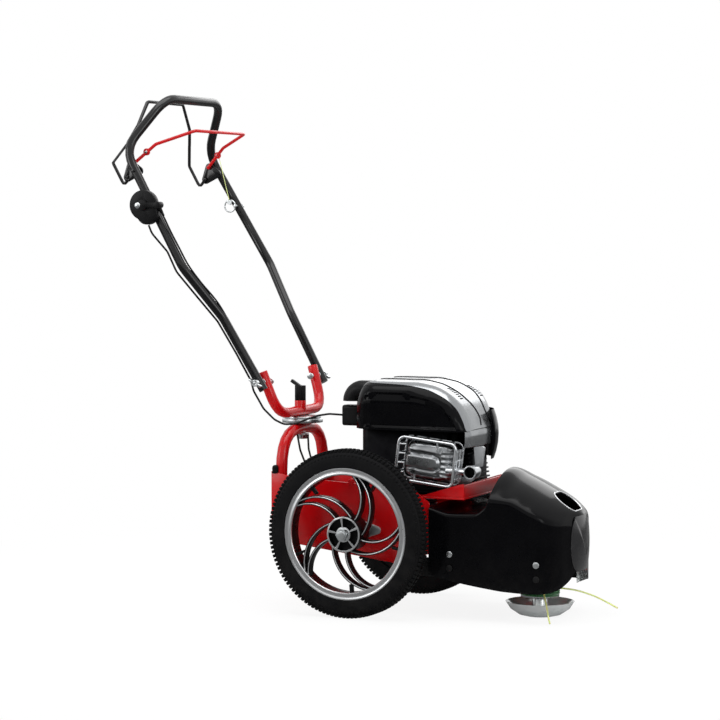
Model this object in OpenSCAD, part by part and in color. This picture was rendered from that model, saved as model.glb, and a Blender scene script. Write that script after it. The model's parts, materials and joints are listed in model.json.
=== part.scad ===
// Wheeled string trimmer: two swirl-spoke wheels, a swivelling handle and a belt-driven line head.
// X is forward, Y is to the left, Z is up. The origin is on the ground, midway between the wheels.

/* [Wheels] */
// Outer diameter of the tyres
wheel_d = 400; // [360:1:440]
// Width of a tyre
tyre_w = 47; // [40:1:54]
// Distance between the middle planes of the wheels
track = 440; // [425:1:480]
// Outer radius of the rim, where the tyre seats
rim_r = 157; // [150:1:162]
// Radial depth of the silver rim ring
rim_depth = 18; // [12:1:22]
// Width of the rim
rim_w = 40; // [32:1:44]
// Outer radius of the hub ring
hub_r = 42; // [36:1:48]
// Width of the hub
hub_w = 56; // [48:1:62]
// Number of twin spokes
spoke_count = 5; // [4:1:6]
// Thickness of one spoke
spoke_t = 6; // [4:0.5:8]
// Depth of the spokes along the axle
spoke_w = 22; // [16:1:28]
// Diameter of the half shafts
axle_d = 20; // [16:1:24]
// Number of tread blocks on each shoulder of a tyre
tread_count = 84; // [60:1:100]
// Height of the tread blocks
tread_h = 4; // [2:0.5:6]

/* [Chassis] */
// Distance between the middle planes of the side plates
chassis_w = 270; // [250:1:290]
// Thickness of the side plates
plate_t = 4; // [3:0.5:6]
// Rear edge of the side plates behind the axle
plate_rear = 241; // [230:1:260]
// Front edge of the side plates ahead of the axle
plate_front = 172; // [165:1:175]
// Height of the top edge at the rear
plate_top = 330; // [310:1:345]
// Height of the bottom edge at the rear
plate_low = 160; // [150:1:175]
// Height of the engine plate's underside
deck_z = 281; // [270:1:290]
// Thickness of the engine plate
deck_t = 5; // [4:0.5:8]
// Diameter of the arch tube
arch_d = 28; // [22:1:32]
// Height of the arch tube's middle line at the top
arch_z = 426; // [410:1:440]
// Place of the arch and the swivel behind the axle
arch_x = 222; // [215:1:226]

/* [Handle] */
// Diameter of the swivel base
swivel_d = 100; // [90:1:116]
// Thickness of the swivel base
swivel_base_t = 9; // [7:0.5:12]
// Thickness of the swivel disc
swivel_disc_t = 6; // [4:0.5:9]
// Diameter of the swivel pivot
pivot_d = 16; // [12:1:20]
// Diameter of the yoke tube
yoke_d = 25; // [20:1:28]
// Half distance between the yoke's prongs
yoke_half = 143; // [136:1:148]
// Height of the prong bolts
prong_z = 546; // [530:1:560]
// Diameter of the handle tube
handle_d = 22; // [18:1:26]
// Half distance between the handle's legs at the prongs
handle_half = 172; // [169:1:180]
// Half distance between the legs at their widest
leg_half = 240; // [230:1:250]
// Half length of the top bar
bar_half = 147; // [130:1:160]
// Height of the handle's top bar
handle_top = 1232; // [1180:1:1250]
// Diameter of the prong bolts
clamp_d = 8; // [6:1:10]
// Diameter of the bail rods
bail_d = 8; // [6:0.5:10]

/* [Engine] */
// Length of the engine shroud
shroud_l = 300; // [280:1:310]
// Width of the engine shroud
shroud_w = 280; // [260:1:290]
// Height of the shroud's top
shroud_top = 554; // [540:1:570]
// Height of the shroud's lower edge
shroud_low = 440; // [436:1:450]
// Place of the crankshaft ahead of the axle
crank_x = 105; // [95:1:115]
// Diameter of the crankshaft
crank_d = 25; // [20:1:28]
// Diameter of the head pulley on the crankshaft
crank_pulley_d = 90; // [80:1:96]
// Diameter of the drive pulley on the crankshaft
drive_pulley_d = 60; // [54:1:66]
// Width of the muffler guard
guard_w = 152; // [140:1:160]
// Height of the muffler guard
guard_h = 119; // [108:1:124]
// Depth of the muffler guard
guard_t = 58; // [50:1:64]
// Diameter of the exhaust outlet
outlet_d = 32; // [26:1:36]

/* [Hood and head] */
// Rear edge of the hood ahead of the axle
hood_rear = 178; // [176:1:190]
// Nose of the hood ahead of the axle
hood_nose = 503; // [495:1:515]
// Width of the hood
hood_w = 312; // [300:1:325]
// Highest point of the hood
hood_top = 350; // [345:1:356]
// Wall of the hood
hood_wall = 4; // [3:0.5:5]
// Place of the head spindle ahead of the axle
head_x = 400; // [385:1:410]
// Diameter of the spindle shaft
spindle_d = 25; // [20:1:28]
// Diameter of the driven pulley
driven_d = 120; // [110:1:130]
// Diameter of the line head
head_d = 92; // [84:1:104]
// Diameter of the ground dish
dish_d = 164; // [150:1:180]
// Height of the dish rim above the ground
dish_h = 35; // [28:1:40]
// Diameter of the nylon lines
line_d = 4; // [3:0.5:5]

/* [Hidden] */
$fn = 64;

// Overrun of every cut, running gap of shafts in their bores, and clearance between other moving faces
cut = 1;
run_gap = 0.05;
seat_gap = 0.02;
clearance = 0.3;

// Colours
red = "#b5121b";
black = "#17181a";
glossy = "#0c0c0e";
silver = "#b9bdc0";
grey = "#6d7174";
brass_line = "#d7d98a";

// Vector helpers
function unit(v) = v / norm(v);
function tangent(p, i) = unit(p[min(i + 1, len(p) - 1)] - p[max(i - 1, 0)]);
function across(n, t) = unit(n - t * (n * t));
function bend(a, b, c, r, n) =
  let(u = unit(a - b), v = unit(c - b), half = acos(max(-1, min(1, u * v))) / 2,
      reach = min(r / tan(half), norm(a - b) * corner_share, norm(c - b) * corner_share))
  [for (i = [0 : n]) let(t = i / n) b + u * reach * pow(1 - t, 2) + v * reach * pow(t, 2)];
function rounded(p, r, n) =
  [p[0], for (i = [1 : len(p) - 2]) each bend(p[i - 1], p[i], p[i + 1], r, n), p[len(p) - 1]];
function flipped(p) = [for (i = [len(p) - 1 : -1 : 0]) [p[i][0], -p[i][1], p[i][2]]];
function arc(c, r, from, to, n) =
  [for (i = [0 : n]) let(a = from + (to - from) * i / n) c + r * [cos(a), sin(a)]];

// Most of a side that a bend may take up
corner_share = 0.48;
bend_steps = 6;
tube_sides = 16;
rod_sides = 10;

// Round bar swept along a list of points
module swept(p, d, sides, up = [0, 0.1, 1]) {
  normals = [for (i = 0, n = across(up, tangent(p, 0)); i < len(p); i = i + 1,
                  n = i < len(p) ? across(n, tangent(p, i)) : n) n];
  rings = [for (i = [0 : len(p) - 1]) let(n = normals[i], b = cross(tangent(p, i), n))
    for (k = [0 : sides - 1]) let(a = 360 * k / sides) p[i] + d / 2 * (n * cos(a) + b * sin(a))];
  last = (len(p) - 1) * sides;
  polyhedron(rings, [
    for (i = [0 : len(p) - 2]) for (k = [0 : sides - 1])
      let(q = i * sides, j = (k + 1) % sides)
        each [[q + k, q + sides + j, q + j], [q + k, q + sides + k, q + sides + j]],
    [for (k = [0 : sides - 1]) k],
    [for (k = [sides - 1 : -1 : 0]) last + k]
  ]);
}

// Square with round corners, centred
module round_square(size, r) {
  square([size[0] - 2 * r, size[1]], center = true);
  square([size[0], size[1] - 2 * r], center = true);
  for (x = [-1, 1], y = [-1, 1]) translate([x * (size[0] / 2 - r), y * (size[1] / 2 - r)]) circle(r);
}

// Upright extrusion of a side outline, from one side to the other
module side_slab(from, to) {
  translate([0, to, 0]) rotate([90, 0, 0]) linear_extrude(to - from) children();
}

// Round bar along Y
module cross_bar(x, z, from, to, d) {
  translate([x, from, z]) rotate([-90, 0, 0]) cylinder(d = d, h = to - from);
}

// A piece and its mirror image on the other side
module both_sides() {
  children();
  mirror([0, 1, 0]) children();
}

module at_wheel(side) {
  translate([0, side * track / 2, axle_z]) rotate([0, 0, side > 0 ? 180 : 0]) rotate([90, 0, 0]) children();
}

// Wheels
wheel_r = wheel_d / 2;
axle_z = wheel_r;
axle_r = axle_d / 2;
swell_share = 0.55;
shoulder_share = 0.16;
tread_row_share = 0.26;
tread_row_w = tyre_w * tread_row_share;
tread_root_share = 1.3;
tread_fill_share = 0.62;
rim_inner_r = rim_r - rim_depth;
rim_lip_h = 5;
hub_wall = 4;
hub_core_r = 18;
hub_pocket_depth = 16;
spoke_first_angle = 26;
spoke_root_angle = 29;
spoke_inner_tip = 57;
spoke_outer_tip = 52;
spoke_inner_sag_share = 0.18;
spoke_outer_sag_share = 0.2;
strut_angle = 33;
strut_share = 0.8;
strut_r = hub_r + (rim_inner_r - hub_r) * strut_share;
face_out = hub_w / 2;
rim_face = rim_w / 2;

// Tyre casing with two rows of shoulder blocks
module tyre_form() {
  half = tyre_w / 2;
  crown_r = wheel_r - tread_h;
  row = half * shoulder_share;
  rotate_extrude() polygon([for (a = [90 : -15 : -90])
    [rim_r + (crown_r - rim_r) * pow(cos(a), swell_share), half * sin(a)]]);
  for (side = [-1, 1])
    translate([0, 0, side * (row + tread_row_w / 2) - tread_row_w / 2])
      linear_extrude(tread_row_w) tread_ring(side);
}

module tread_ring(side) {
  step = 360 / tread_count;
  root = wheel_r - tread_h * tread_root_share;
  turn = side > 0 ? step / 2 : 0;
  difference() {
    polygon([for (i = [0 : tread_count - 1]) let(a = i * step + turn, b = a + step * tread_fill_share)
      each [root * [cos(a), sin(a)], wheel_r * [cos(a), sin(a)],
            wheel_r * [cos(b), sin(b)], root * [cos(b), sin(b)]]]);
    circle(rim_r + (wheel_r - rim_r) / 2);
  }
}

// One curved spoke between two polar points, bulging to the clockwise side
module spoke(from_angle, to_angle, sag_share) {
  a = (hub_r - hub_wall / 2) * [cos(from_angle), sin(from_angle)];
  b = (rim_inner_r + hub_wall / 2) * [cos(to_angle), sin(to_angle)];
  chord = norm(b - a);
  sag = chord * sag_share;
  bow_r = (pow(chord / 2, 2) + pow(sag, 2)) / (2 * sag);
  along = unit(b - a);
  centre = (a + b) / 2 + [-along[1], along[0]] * (bow_r - sag);
  start = atan2(a[1] - centre[1], a[0] - centre[0]);
  sweep = 2 * asin(chord / 2 / bow_r);
  translate(centre) rotate(start) rotate_extrude(angle = sweep)
    translate([bow_r - spoke_t / 2, -spoke_w / 2 + spoke_out]) square([spoke_t, spoke_w]);
}

// Wheel moulding: rim, twin spokes with their struts, and a hub with pockets
module wheel_form() {
  difference() {
    union() {
      rotate_extrude() polygon([
        [rim_inner_r, -rim_face], [rim_inner_r, rim_face], [rim_r, rim_face],
        [rim_r, rim_face - rim_lip_h], [rim_r - seat_gap, -rim_face]]);
      translate([0, 0, -face_out]) cylinder(r = hub_r, h = hub_w);
      for (k = [0 : spoke_count - 1]) rotate(spoke_first_angle + 360 / spoke_count * k) {
        spoke(spoke_root_angle, spoke_inner_tip, spoke_inner_sag_share);
        spoke(-spoke_root_angle, spoke_outer_tip, spoke_outer_sag_share);
        rotate(strut_angle) translate([strut_r, -spoke_t / 2, spoke_out - strut_w / 2])
          cube([rim_inner_r - strut_r + hub_wall / 2, spoke_t, strut_w]);
      }
    }
    for (side = [-1, 1]) translate([0, 0, side * (face_out - hub_pocket_depth / 2)])
      hub_pockets();
    translate([0, 0, -face_out - cut]) cylinder(r = axle_r + seat_gap, h = hub_w + 2 * cut);
  }
}

module hub_pockets() {
  for (k = [0 : spoke_count - 1]) rotate(spoke_first_angle + 360 / spoke_count * (k + 0.5))
    rotate(-pocket_angle / 2) rotate_extrude(angle = pocket_angle)
      translate([hub_core_r, -hub_pocket_depth / 2 - cut])
        square([hub_r - hub_wall - hub_core_r, hub_pocket_depth + 2 * cut]);
}
spoke_out = 4;
strut_w = 14;
pocket_rib_angle = 9;
pocket_angle = 360 / spoke_count - pocket_rib_angle;

module right_tyre() { color(black) at_wheel(-1) tyre_form(); }
module left_tyre() { color(black) at_wheel(1) tyre_form(); }
module right_wheel() { color(silver) at_wheel(-1) wheel_form(); }
module left_wheel() { color(silver) at_wheel(1) wheel_form(); }

// Half shafts, carried in the gearbox and the flange bearings
shaft_in = 24;
shaft_tail = 16;
nut_h = 9;
nut_d = 30;
washer_r = 16;
washer_t = 3;
module shaft_form() {
  translate([0, 0, shaft_in - track / 2])
    cylinder(r = axle_r, h = track / 2 - shaft_in + face_out + shaft_tail);
}
module nut_form() {
  difference() {
    union() {
      translate([0, 0, face_out]) cylinder(r = washer_r, h = washer_t);
      translate([0, 0, face_out + washer_t]) cylinder(d = nut_d, h = nut_h, $fn = 6);
    }
    translate([0, 0, face_out - cut]) cylinder(r = axle_r + seat_gap, h = nut_h + washer_t + 2 * cut);
  }
}
module right_half_shaft() { color(grey) at_wheel(-1) shaft_form(); }
module left_half_shaft() { color(grey) at_wheel(1) shaft_form(); }
module right_axle_nut() { color(silver) at_wheel(-1) nut_form(); }
module left_axle_nut() { color(silver) at_wheel(1) nut_form(); }

// Side plates, cut to the photographed outline
plate_in = chassis_w / 2 - plate_t / 2;
plate_out = chassis_w / 2 + plate_t / 2;
plate_front_rise = 20;
plate_front_top = deck_z + plate_front_rise;
plate_front_low = 124;
plate_belly_x = 84;
plate_nose_low = 150;
plate_tail_rise = 8;
plate_tail_l = 40;
plate_nose_drop = 30;
plate_nose_l = 40;
plate_step_l = 60;
plate_step_drop = 12;
plate_hole_gap = 6;
plate_hole_r = axle_r + plate_hole_gap;
plate_boss_rise = 12;
plate_boss_x = 28;
plate_boss_r = 9;
module plate_form() {
  side_slab(plate_in, plate_out) difference() {
    union() {
      polygon([[-plate_rear, plate_low + plate_tail_rise], [-plate_rear + plate_tail_l, plate_low],
               [plate_belly_x, plate_front_low], [plate_front, plate_nose_low],
               [plate_front, plate_front_top - plate_nose_drop],
               [plate_front - plate_nose_l, plate_front_top],
               [-plate_rear + plate_step_l, plate_top - plate_step_drop], [-plate_rear, plate_top]]);
      translate([plate_boss_x, plate_front_top + plate_boss_rise]) circle(plate_boss_r);
    }
    translate([0, axle_z]) circle(plate_hole_r);
  }
}
module left_side_plate() { color(red) plate_form(); }
module right_side_plate() { color(red) mirror([0, 1, 0]) plate_form(); }

// Flange bearings: a diamond plate outside each side plate with a ribbed sleeve
flange_t = 5;
flange_r = 22;
flange_reach = 40;
flange_ear_r = 9;
sleeve_r = 17;
sleeve_gap = 15;
sleeve_l = track / 2 - hub_w / 2 - plate_out - sleeve_gap;
sleeve_rib_h = 2.5;
sleeve_rib_count = 5;
sleeve_rib_t = (sleeve_l - flange_t) / sleeve_rib_count / 2;
module bearing_form() {
  difference() {
    union() {
      translate([0, plate_out + flange_t, axle_z]) rotate([90, 0, 0]) linear_extrude(flange_t) hull() {
        circle(flange_r, $fn = 32);
        for (side = [-1, 1]) translate([side * flange_reach, 0]) circle(flange_ear_r, $fn = 32);
      }
      translate([0, plate_out, axle_z]) rotate([-90, 0, 0]) cylinder(r = sleeve_r, h = sleeve_l);
      for (k = [0 : sleeve_rib_count - 1])
        cross_bar(0, axle_z, plate_out + flange_t + k * 2 * sleeve_rib_t,
                  plate_out + flange_t + (2 * k + 1) * sleeve_rib_t, 2 * (sleeve_r + sleeve_rib_h));
    }
    cross_bar(0, axle_z, plate_out - cut, plate_out + sleeve_l + cut, 2 * (axle_r + run_gap));
  }
}
module axle_bearings() { color(silver) both_sides() bearing_form(); }

// Gearbox with its axle tubes, seated between the side plates
gearbox_r = 50;
gearbox_half = 62;
gearbox_top = 248;
gear_x = -28;
gear_boss_r = 40;
axle_tube_r = 22;
input_d = 16;
input_depth = 60;
module gearbox() {
  color(grey) difference() {
    union() {
      cross_bar(0, axle_z, -gearbox_half, gearbox_half, 2 * gearbox_r);
      cross_bar(0, axle_z, -plate_in, plate_in, 2 * axle_tube_r);
      translate([gear_x, 0, axle_z]) cylinder(r = gear_boss_r, h = gearbox_top - axle_z);
    }
    cross_bar(0, axle_z, -plate_in - cut, -shaft_in + clearance, 2 * (axle_r + run_gap));
    cross_bar(0, axle_z, shaft_in - clearance, plate_in + cut, 2 * (axle_r + run_gap));
    translate([gear_x, 0, gearbox_top - input_depth])
      cylinder(d = input_d + 2 * run_gap, h = input_depth + cut);
  }
}

// Grooved pulley on a vertical axis, with its base at the origin
groove_depth = 8;
belt_w = 10;
pulley_lip = 4;
groove_share = 0.25;
pulley_h = belt_w + 2 * pulley_lip;
module pulley(d) {
  r = d / 2;
  rotate_extrude() polygon([
    [0, 0], [r, 0], [r, pulley_lip], [r - groove_depth, pulley_lip + belt_w * groove_share],
    [r - groove_depth, pulley_lip + belt_w * (1 - groove_share)], [r, pulley_h - pulley_lip], [r, pulley_h],
    [0, pulley_h]]);
}

// Flat loop of belt round two pulleys
belt_t = 6;
module belt_loop(x1, d1, x2, d2, z) {
  translate([0, 0, z]) linear_extrude(belt_w * (1 - 2 * groove_share) - 2 * clearance) difference() {
    hull() { translate([x1, 0]) circle(d1 / 2 + belt_t); translate([x2, 0]) circle(d2 / 2 + belt_t); }
    hull() { translate([x1, 0]) circle(d1 / 2); translate([x2, 0]) circle(d2 / 2); }
  }
}
input_pulley_d = 90;
pulley_rise = 4;
drive_z = gearbox_top + pulley_rise;
module input_pulley() {
  color(grey) {
    translate([gear_x, 0, drive_z]) pulley(input_pulley_d);
    translate([gear_x, 0, gearbox_top - input_depth + clearance])
      cylinder(d = input_d, h = input_depth - clearance + pulley_h);
  }
}
belt_inset = groove_depth - clearance;
module drive_belt() {
  color(black) belt_loop(gear_x, input_pulley_d - 2 * belt_inset, crank_x, drive_pulley_d - 2 * belt_inset,
                         drive_z + pulley_lip + belt_w * groove_share + clearance);
}

// Cross tubes between the side plates
cross_d = 22;
cross_rear_in = 50;
cross_rear_rise = 30;
cross_belly_in = 6;
cross_belly_rise = 24;
module cross_tubes() {
  color(red) {
    cross_bar(-plate_rear + cross_rear_in, plate_low + cross_rear_rise, -plate_in, plate_in, cross_d);
    cross_bar(plate_belly_x - cross_belly_in, plate_front_low + cross_belly_rise,
              -plate_in, plate_in, cross_d);
  }
}

// Engine plate, with a front wall and gussets that stiffen its overhang
deck_rear = 110;
deck_front = 258;
deck_hole_gap = 14;
deck_hole_r = crank_d / 2 + deck_hole_gap;
module engine_plate() {
  color(red) difference() {
    translate([-deck_rear, -plate_in, deck_z]) cube([deck_rear + deck_front, 2 * plate_in, deck_t]);
    translate([crank_x, 0, deck_z - cut]) cylinder(r = deck_hole_r, h = deck_t + 2 * cut);
  }
}
gusset_t = 5;
gusset_l = 110;
gusset_h = 32;
gusset_top_l = 8;
gusset_flange_w = 18;
front_wall_h = 30;
module front_gussets() {
  foot = deck_front - gusset_l;
  head = deck_front - gusset_top_l;
  color(red) translate([0, 0, deck_z + deck_t]) {
    both_sides() {
      side_slab(plate_in - gusset_t, plate_in)
        polygon([[foot, 0], [deck_front, 0], [deck_front, gusset_h], [head, gusset_h]]);
      side_slab(plate_in - gusset_flange_w, plate_in)
        polygon([[foot, 0], [foot + 3 * gusset_t, 0], [head, gusset_h - gusset_t], [head, gusset_h]]);
    }
    translate([deck_front - gusset_t, -plate_in, 0]) cube([gusset_t, 2 * plate_in, front_wall_h]);
  }
}

// Front frame: two rails inside the side plates and a cross plate for the spindle
rail_w = 18;
rail_h = 26;
rail_z = 190;
rail_rear = 110;
rail_front = 456;
bridge_l = 110;
bridge_t = 8;
housing_r = 36;
hood_rail_gap = 19;
rail_out = min(plate_in, hood_w / 2 - hood_wall - hood_rail_gap);
spacer_l = 60;
module front_frame() {
  color(red) difference() {
    union() {
      both_sides() translate([rail_rear, rail_out - rail_w, rail_z])
        cube([rail_front - rail_rear, rail_w, rail_h]);
      if (plate_in > rail_out) both_sides() translate([rail_rear, rail_out, rail_z])
        cube([spacer_l, plate_in - rail_out, rail_h]);
      translate([head_x - bridge_l / 2, -rail_out + rail_w, rail_z + rail_h - bridge_t])
        cube([bridge_l, 2 * (rail_out - rail_w), bridge_t]);
      both_sides() for (p = hood_tab_places)
        translate([p - tab_w / 2, rail_out - tab_t, tab_low]) cube([tab_w, tab_t, rail_z - tab_low + cut]);
    }
    translate([head_x, 0, rail_z]) cylinder(r = housing_r + seat_gap, h = rail_h + cut);
  }
}

// Arch tube that carries the handle, its legs inside the side plates
arch_leg = plate_in - arch_d / 2 - clearance;
arch_foot_rise = 30;
arch_foot = plate_low + arch_foot_rise;
arch_bend = 95;
arch_line = rounded([[-arch_x, -arch_leg, arch_foot], [-arch_x, -arch_leg, arch_z],
                     [-arch_x, arch_leg, arch_z], [-arch_x, arch_leg, arch_foot]], arch_bend, bend_steps);
module arch_tube() { color(red) swept(arch_line, arch_d, tube_sides, [1, 0, 0]); }

// Hexagon bolt head and washer under the arch
arch_low = arch_z - arch_d / 2;
bolt_head_d = 26;
bolt_head_h = 10;
module arch_bolt() {
  color(silver) translate([-arch_x, 0, arch_low - washer_t - bolt_head_h]) {
    cylinder(d = bolt_head_d, h = bolt_head_h, $fn = 6);
    translate([0, 0, bolt_head_h]) cylinder(r = washer_r, h = washer_t - clearance);
  }
}

// Swivel: a base on the arch, and a disc that turns on it with the yoke
swivel_z = arch_z + arch_d / 2 + seat_gap;
disc_z = swivel_z + swivel_base_t + clearance;
disc_step = 5;
disc_d = swivel_d - 2 * disc_step;
module swivel_base() {
  color(silver) translate([-arch_x, 0, swivel_z]) difference() {
    cylinder(d = swivel_d, h = swivel_base_t);
    translate([0, 0, swivel_base_t / 3]) cylinder(d = pivot_d + 2 * run_gap, h = swivel_base_t);
  }
}
module swivel_disc() {
  color(silver) translate([-arch_x, 0, disc_z]) {
    cylinder(d = disc_d, h = swivel_disc_t);
    translate([0, 0, clearance - swivel_base_t * 2 / 3])
      cylinder(d = pivot_d, h = swivel_base_t * 2 / 3 + swivel_disc_t / 2);
  }
}

// Yoke with its knob boss
yoke_set_back = 6;
yoke_x = -arch_x - yoke_set_back;
yoke_z = disc_z + swivel_disc_t + yoke_d / 2 + seat_gap;
yoke_corner_in = 15;
yoke_corner = yoke_half - yoke_corner_in;
prong_tip = 24;
prong_top = prong_z + prong_tip;
prong_lean = 34;
yoke_bend = 60;
knob_shaft_d = 10;
knob_shaft_h = 10;
boss_d = 28;
boss_rise = 13;
boss_top = yoke_z + yoke_d / 2 + boss_rise;
prong_rise_share = (prong_z - yoke_z) / (prong_top - yoke_z);
clamp_x = yoke_x - prong_lean * prong_rise_share;
yoke_side = [[yoke_x - prong_lean, -yoke_half, prong_top], [yoke_x, -yoke_corner, yoke_z]];
yoke_line = rounded(concat(yoke_side, flipped(yoke_side)), yoke_bend, bend_steps);
module yoke() {
  color(red) difference() {
    union() {
      swept(yoke_line, yoke_d, tube_sides, [1, 0, 0]);
      translate([yoke_x, 0, yoke_z]) cylinder(d = boss_d, h = boss_top - yoke_z);
    }
    cross_bar(clamp_x, prong_z, -yoke_half - yoke_d, yoke_half + yoke_d, clamp_d + 2 * run_gap);
    translate([yoke_x, 0, boss_top - knob_shaft_h])
      cylinder(d = knob_shaft_d + 2 * run_gap, h = knob_shaft_h + cut);
  }
}

// Lock knob with its beak lever
knob_d = 27;
knob_h = 36;
beak_l = 30;
beak_w = 9;
beak_t = 7;
beak_rise = 32;
knob_flute_count = 8;
module lock_knob() {
  color(black) translate([yoke_x, 0, boss_top + clearance]) {
    difference() {
      cylinder(d = knob_d, h = knob_h);
      for (k = [0 : knob_flute_count - 1]) rotate(360 / knob_flute_count * k)
        translate([knob_d / 2 + beak_t / 4, 0, -cut]) cylinder(d = beak_t, h = knob_h + 2 * cut);
    }
    translate([0, 0, -knob_shaft_h]) cylinder(d = knob_shaft_d, h = knob_shaft_h + cut);
    translate([0, -beak_w / 2, knob_h - beak_t]) rotate([0, beak_rise, 0]) translate([-beak_l, 0, 0])
      cube([beak_l, beak_w, beak_t]);
  }
}

// Handle: one bent tube from prong to prong
leg_jog_x = -344;
leg_jog_half = 189;
leg_jog_z = 701;
leg_wide_x = -426;
leg_wide_z = 822;
leg_back_x = -594;
leg_back_half = 220;
leg_back_z = 1108;
leg_jog = [leg_jog_x, -leg_jog_half, leg_jog_z];
leg_back = [leg_back_x, -leg_back_half, leg_back_z];
bar_x = -521;
leg_foot = 18;
foot_lean_share = (clamp_x - leg_jog[0]) / (prong_z - leg_jog[2]);
handle_side = [
  [clamp_x - leg_foot * foot_lean_share, -handle_half, prong_z - leg_foot], leg_jog,
  [leg_wide_x, -leg_half, leg_wide_z], leg_back, [bar_x, -bar_half, handle_top]];
handle_bend = 75;
handle_line = rounded(concat(handle_side, flipped(handle_side)), handle_bend, bend_steps);
leg_dir = unit(leg_back - handle_side[2]);
// Point on the upper right leg at a height
function leg_at(z) = handle_side[2] + leg_dir * (z - leg_wide_z) / leg_dir[2];
bracket_z = 1055;
throttle_z = 972;
stud_d = 8;
module handle_tube() {
  color(black) difference() {
    swept(handle_line, handle_d, tube_sides, [0, 1, 0]);
    cross_bar(clamp_x, prong_z, -handle_half - handle_d, handle_half + handle_d, clamp_d + 2 * seat_gap);
    for (z = [bracket_z, throttle_z])
      cross_bar(leg_at(z)[0], z, -leg_half - handle_d, leg_half + handle_d, stud_d + 2 * seat_gap);
  }
}

// Clamp bolts through the prongs, with spacers, and wing nuts outside
clamp_head_d = 16;
clamp_head_h = 6;
clamp_reach = 14;
clamp_tail = 19;
spacer_yoke_gap = 0.5;
spacer_leg_gap = 2.5;
clamp_in = yoke_half - yoke_d / 2 - clamp_reach;
clamp_out = handle_half + handle_d / 2 + clamp_tail;
spacer_from = yoke_half + yoke_d / 2 + spacer_yoke_gap;
spacer_to = handle_half - handle_d / 2 - spacer_leg_gap;
module clamp_bolts() {
  color(silver) both_sides() {
    cross_bar(clamp_x, prong_z, clamp_in, clamp_out, clamp_d);
    cross_bar(clamp_x, prong_z, clamp_in - clamp_head_h, clamp_in, clamp_head_d);
    cross_bar(clamp_x, prong_z, spacer_from, spacer_to, clamp_head_d);
  }
}
wing_l = 17;
wing_t = 5;
wing_h = 12;
wing_turn = 30;
module wing_nuts() {
  color(silver) both_sides() difference() {
    union() {
      cross_bar(clamp_x, prong_z, clamp_out - wing_h, clamp_out - clearance, clamp_head_d);
      for (side = [0, 180]) translate([clamp_x, clamp_out - wing_h, prong_z]) rotate([0, side + wing_turn, 0])
        translate([0, 0, -wing_t / 2]) cube([wing_l, wing_h, wing_t]);
    }
    cross_bar(clamp_x, prong_z, clamp_out - wing_h - cut, clamp_out + cut, clamp_d + 2 * seat_gap);
  }
}

// Bail brackets: drilled plates inside the legs, each on a stud through its leg
bracket_t = 4;
bracket_tail = 3;
bracket_stud = handle_d / 2 + bracket_tail;
bracket_out = 208;
pin_d = bail_d;
bracket_lobe_r = 11;
black_pivot_back = 31;
black_pivot_drop = 15;
red_pivot_back = 21;
red_pivot_rise = 16;
black_pivot = [leg_at(bracket_z)[0] - black_pivot_back, bracket_z - black_pivot_drop];
red_pivot = [leg_at(bracket_z)[0] - red_pivot_back, bracket_z + red_pivot_rise];
module bail_brackets() {
  color(black) both_sides() {
    side_slab(bracket_out - bracket_t, bracket_out) difference() {
      hull() for (p = [black_pivot, red_pivot, [leg_at(bracket_z)[0], bracket_z]]) translate(p)
        circle(bracket_lobe_r, $fn = 32);
      for (p = [black_pivot, red_pivot]) translate(p) circle(d = pin_d + 2 * run_gap);
    }
    cross_bar(leg_at(bracket_z)[0], bracket_z, bracket_out, bracket_stud - leg_at(bracket_z)[1], stud_d);
  }
}

// Bails: bent rods whose ends turn out into the brackets
bail_side_gap = 1;
bail_y = bracket_out - bracket_t - bail_d / 2 - bail_side_gap;
bail_pin_tip = 2;
bail_pin_out = bracket_out + bail_pin_tip;
bail_ball_share = 1.2;
bail_bend = 14;
black_reach = 45;
black_rise = 188;
black_shares = [[-0.31, 1, -0.106], [-1, 1, 0.186], [-0.956, 0.98, 0.468],
                [-0.733, 0.829, 0.67], [-0.133, 0.462, 1]];
red_reach = 137;
red_rise = 82;
red_shares = [[0.387, 0.905, 0.598], [1, 0.673, 1]];
// Right half of a bail: its pivot, then shares of its reach, half width and rise
function bail_side(pivot, reach, rise, shares) = [
  [pivot[0], -bail_y, pivot[1]],
  for (p = shares) [pivot[0] + p[0] * reach, -bail_y * p[1], pivot[1] + p[2] * rise]];
module bail(side, pivot) {
  swept(rounded(concat(side, flipped(side)), bail_bend, bend_steps / 2), bail_d, rod_sides, [0, 1, 0.1]);
  both_sides() cross_bar(pivot[0], pivot[1], bail_y - bail_d / 4, bail_pin_out, pin_d);
  both_sides() translate([pivot[0], bail_y, pivot[1]]) sphere(d = bail_d * bail_ball_share);
}
module black_bail() {
  color(black) bail(bail_side(black_pivot, black_reach, black_rise, black_shares), black_pivot);
}
module red_bail() {
  color(red) bail(bail_side(red_pivot, red_reach, red_rise, red_shares), red_pivot);
}

// Throttle housing clamped outside the right leg, and its lever
throttle_back = 8;
throttle_x = leg_at(throttle_z)[0] - throttle_back;
throttle_d = 72;
throttle_t = 18;
throttle_in = -leg_at(throttle_z - throttle_d)[1] + handle_d / 2 + clearance;
throttle_tail = 20;
throttle_tail_share = 0.75;
lever_floor_share = 0.3;
lever_tip_share = 0.4;
lever_pin_d = 8;
lever_hub_d = 26;
lever_t = 5;
lever_l = 50;
lever_w = 12;
lever_knob_d = 16;
lever_knob_l = 22;
module throttle_housing() {
  color(black) difference() {
    union() {
      cross_bar(throttle_x, throttle_z, -throttle_in - throttle_t, -throttle_in, throttle_d);
      cross_bar(throttle_x + throttle_tail / 2, throttle_z - throttle_tail, -throttle_in - throttle_t,
                -throttle_in, throttle_d * throttle_tail_share);
      cross_bar(leg_at(throttle_z)[0], throttle_z, -throttle_in - cut, handle_d - throttle_in, stud_d);
    }
    cross_bar(throttle_x, throttle_z, -throttle_in - throttle_t - cut,
              -throttle_in - throttle_t * lever_floor_share, lever_pin_d + 2 * run_gap);
  }
}
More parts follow.
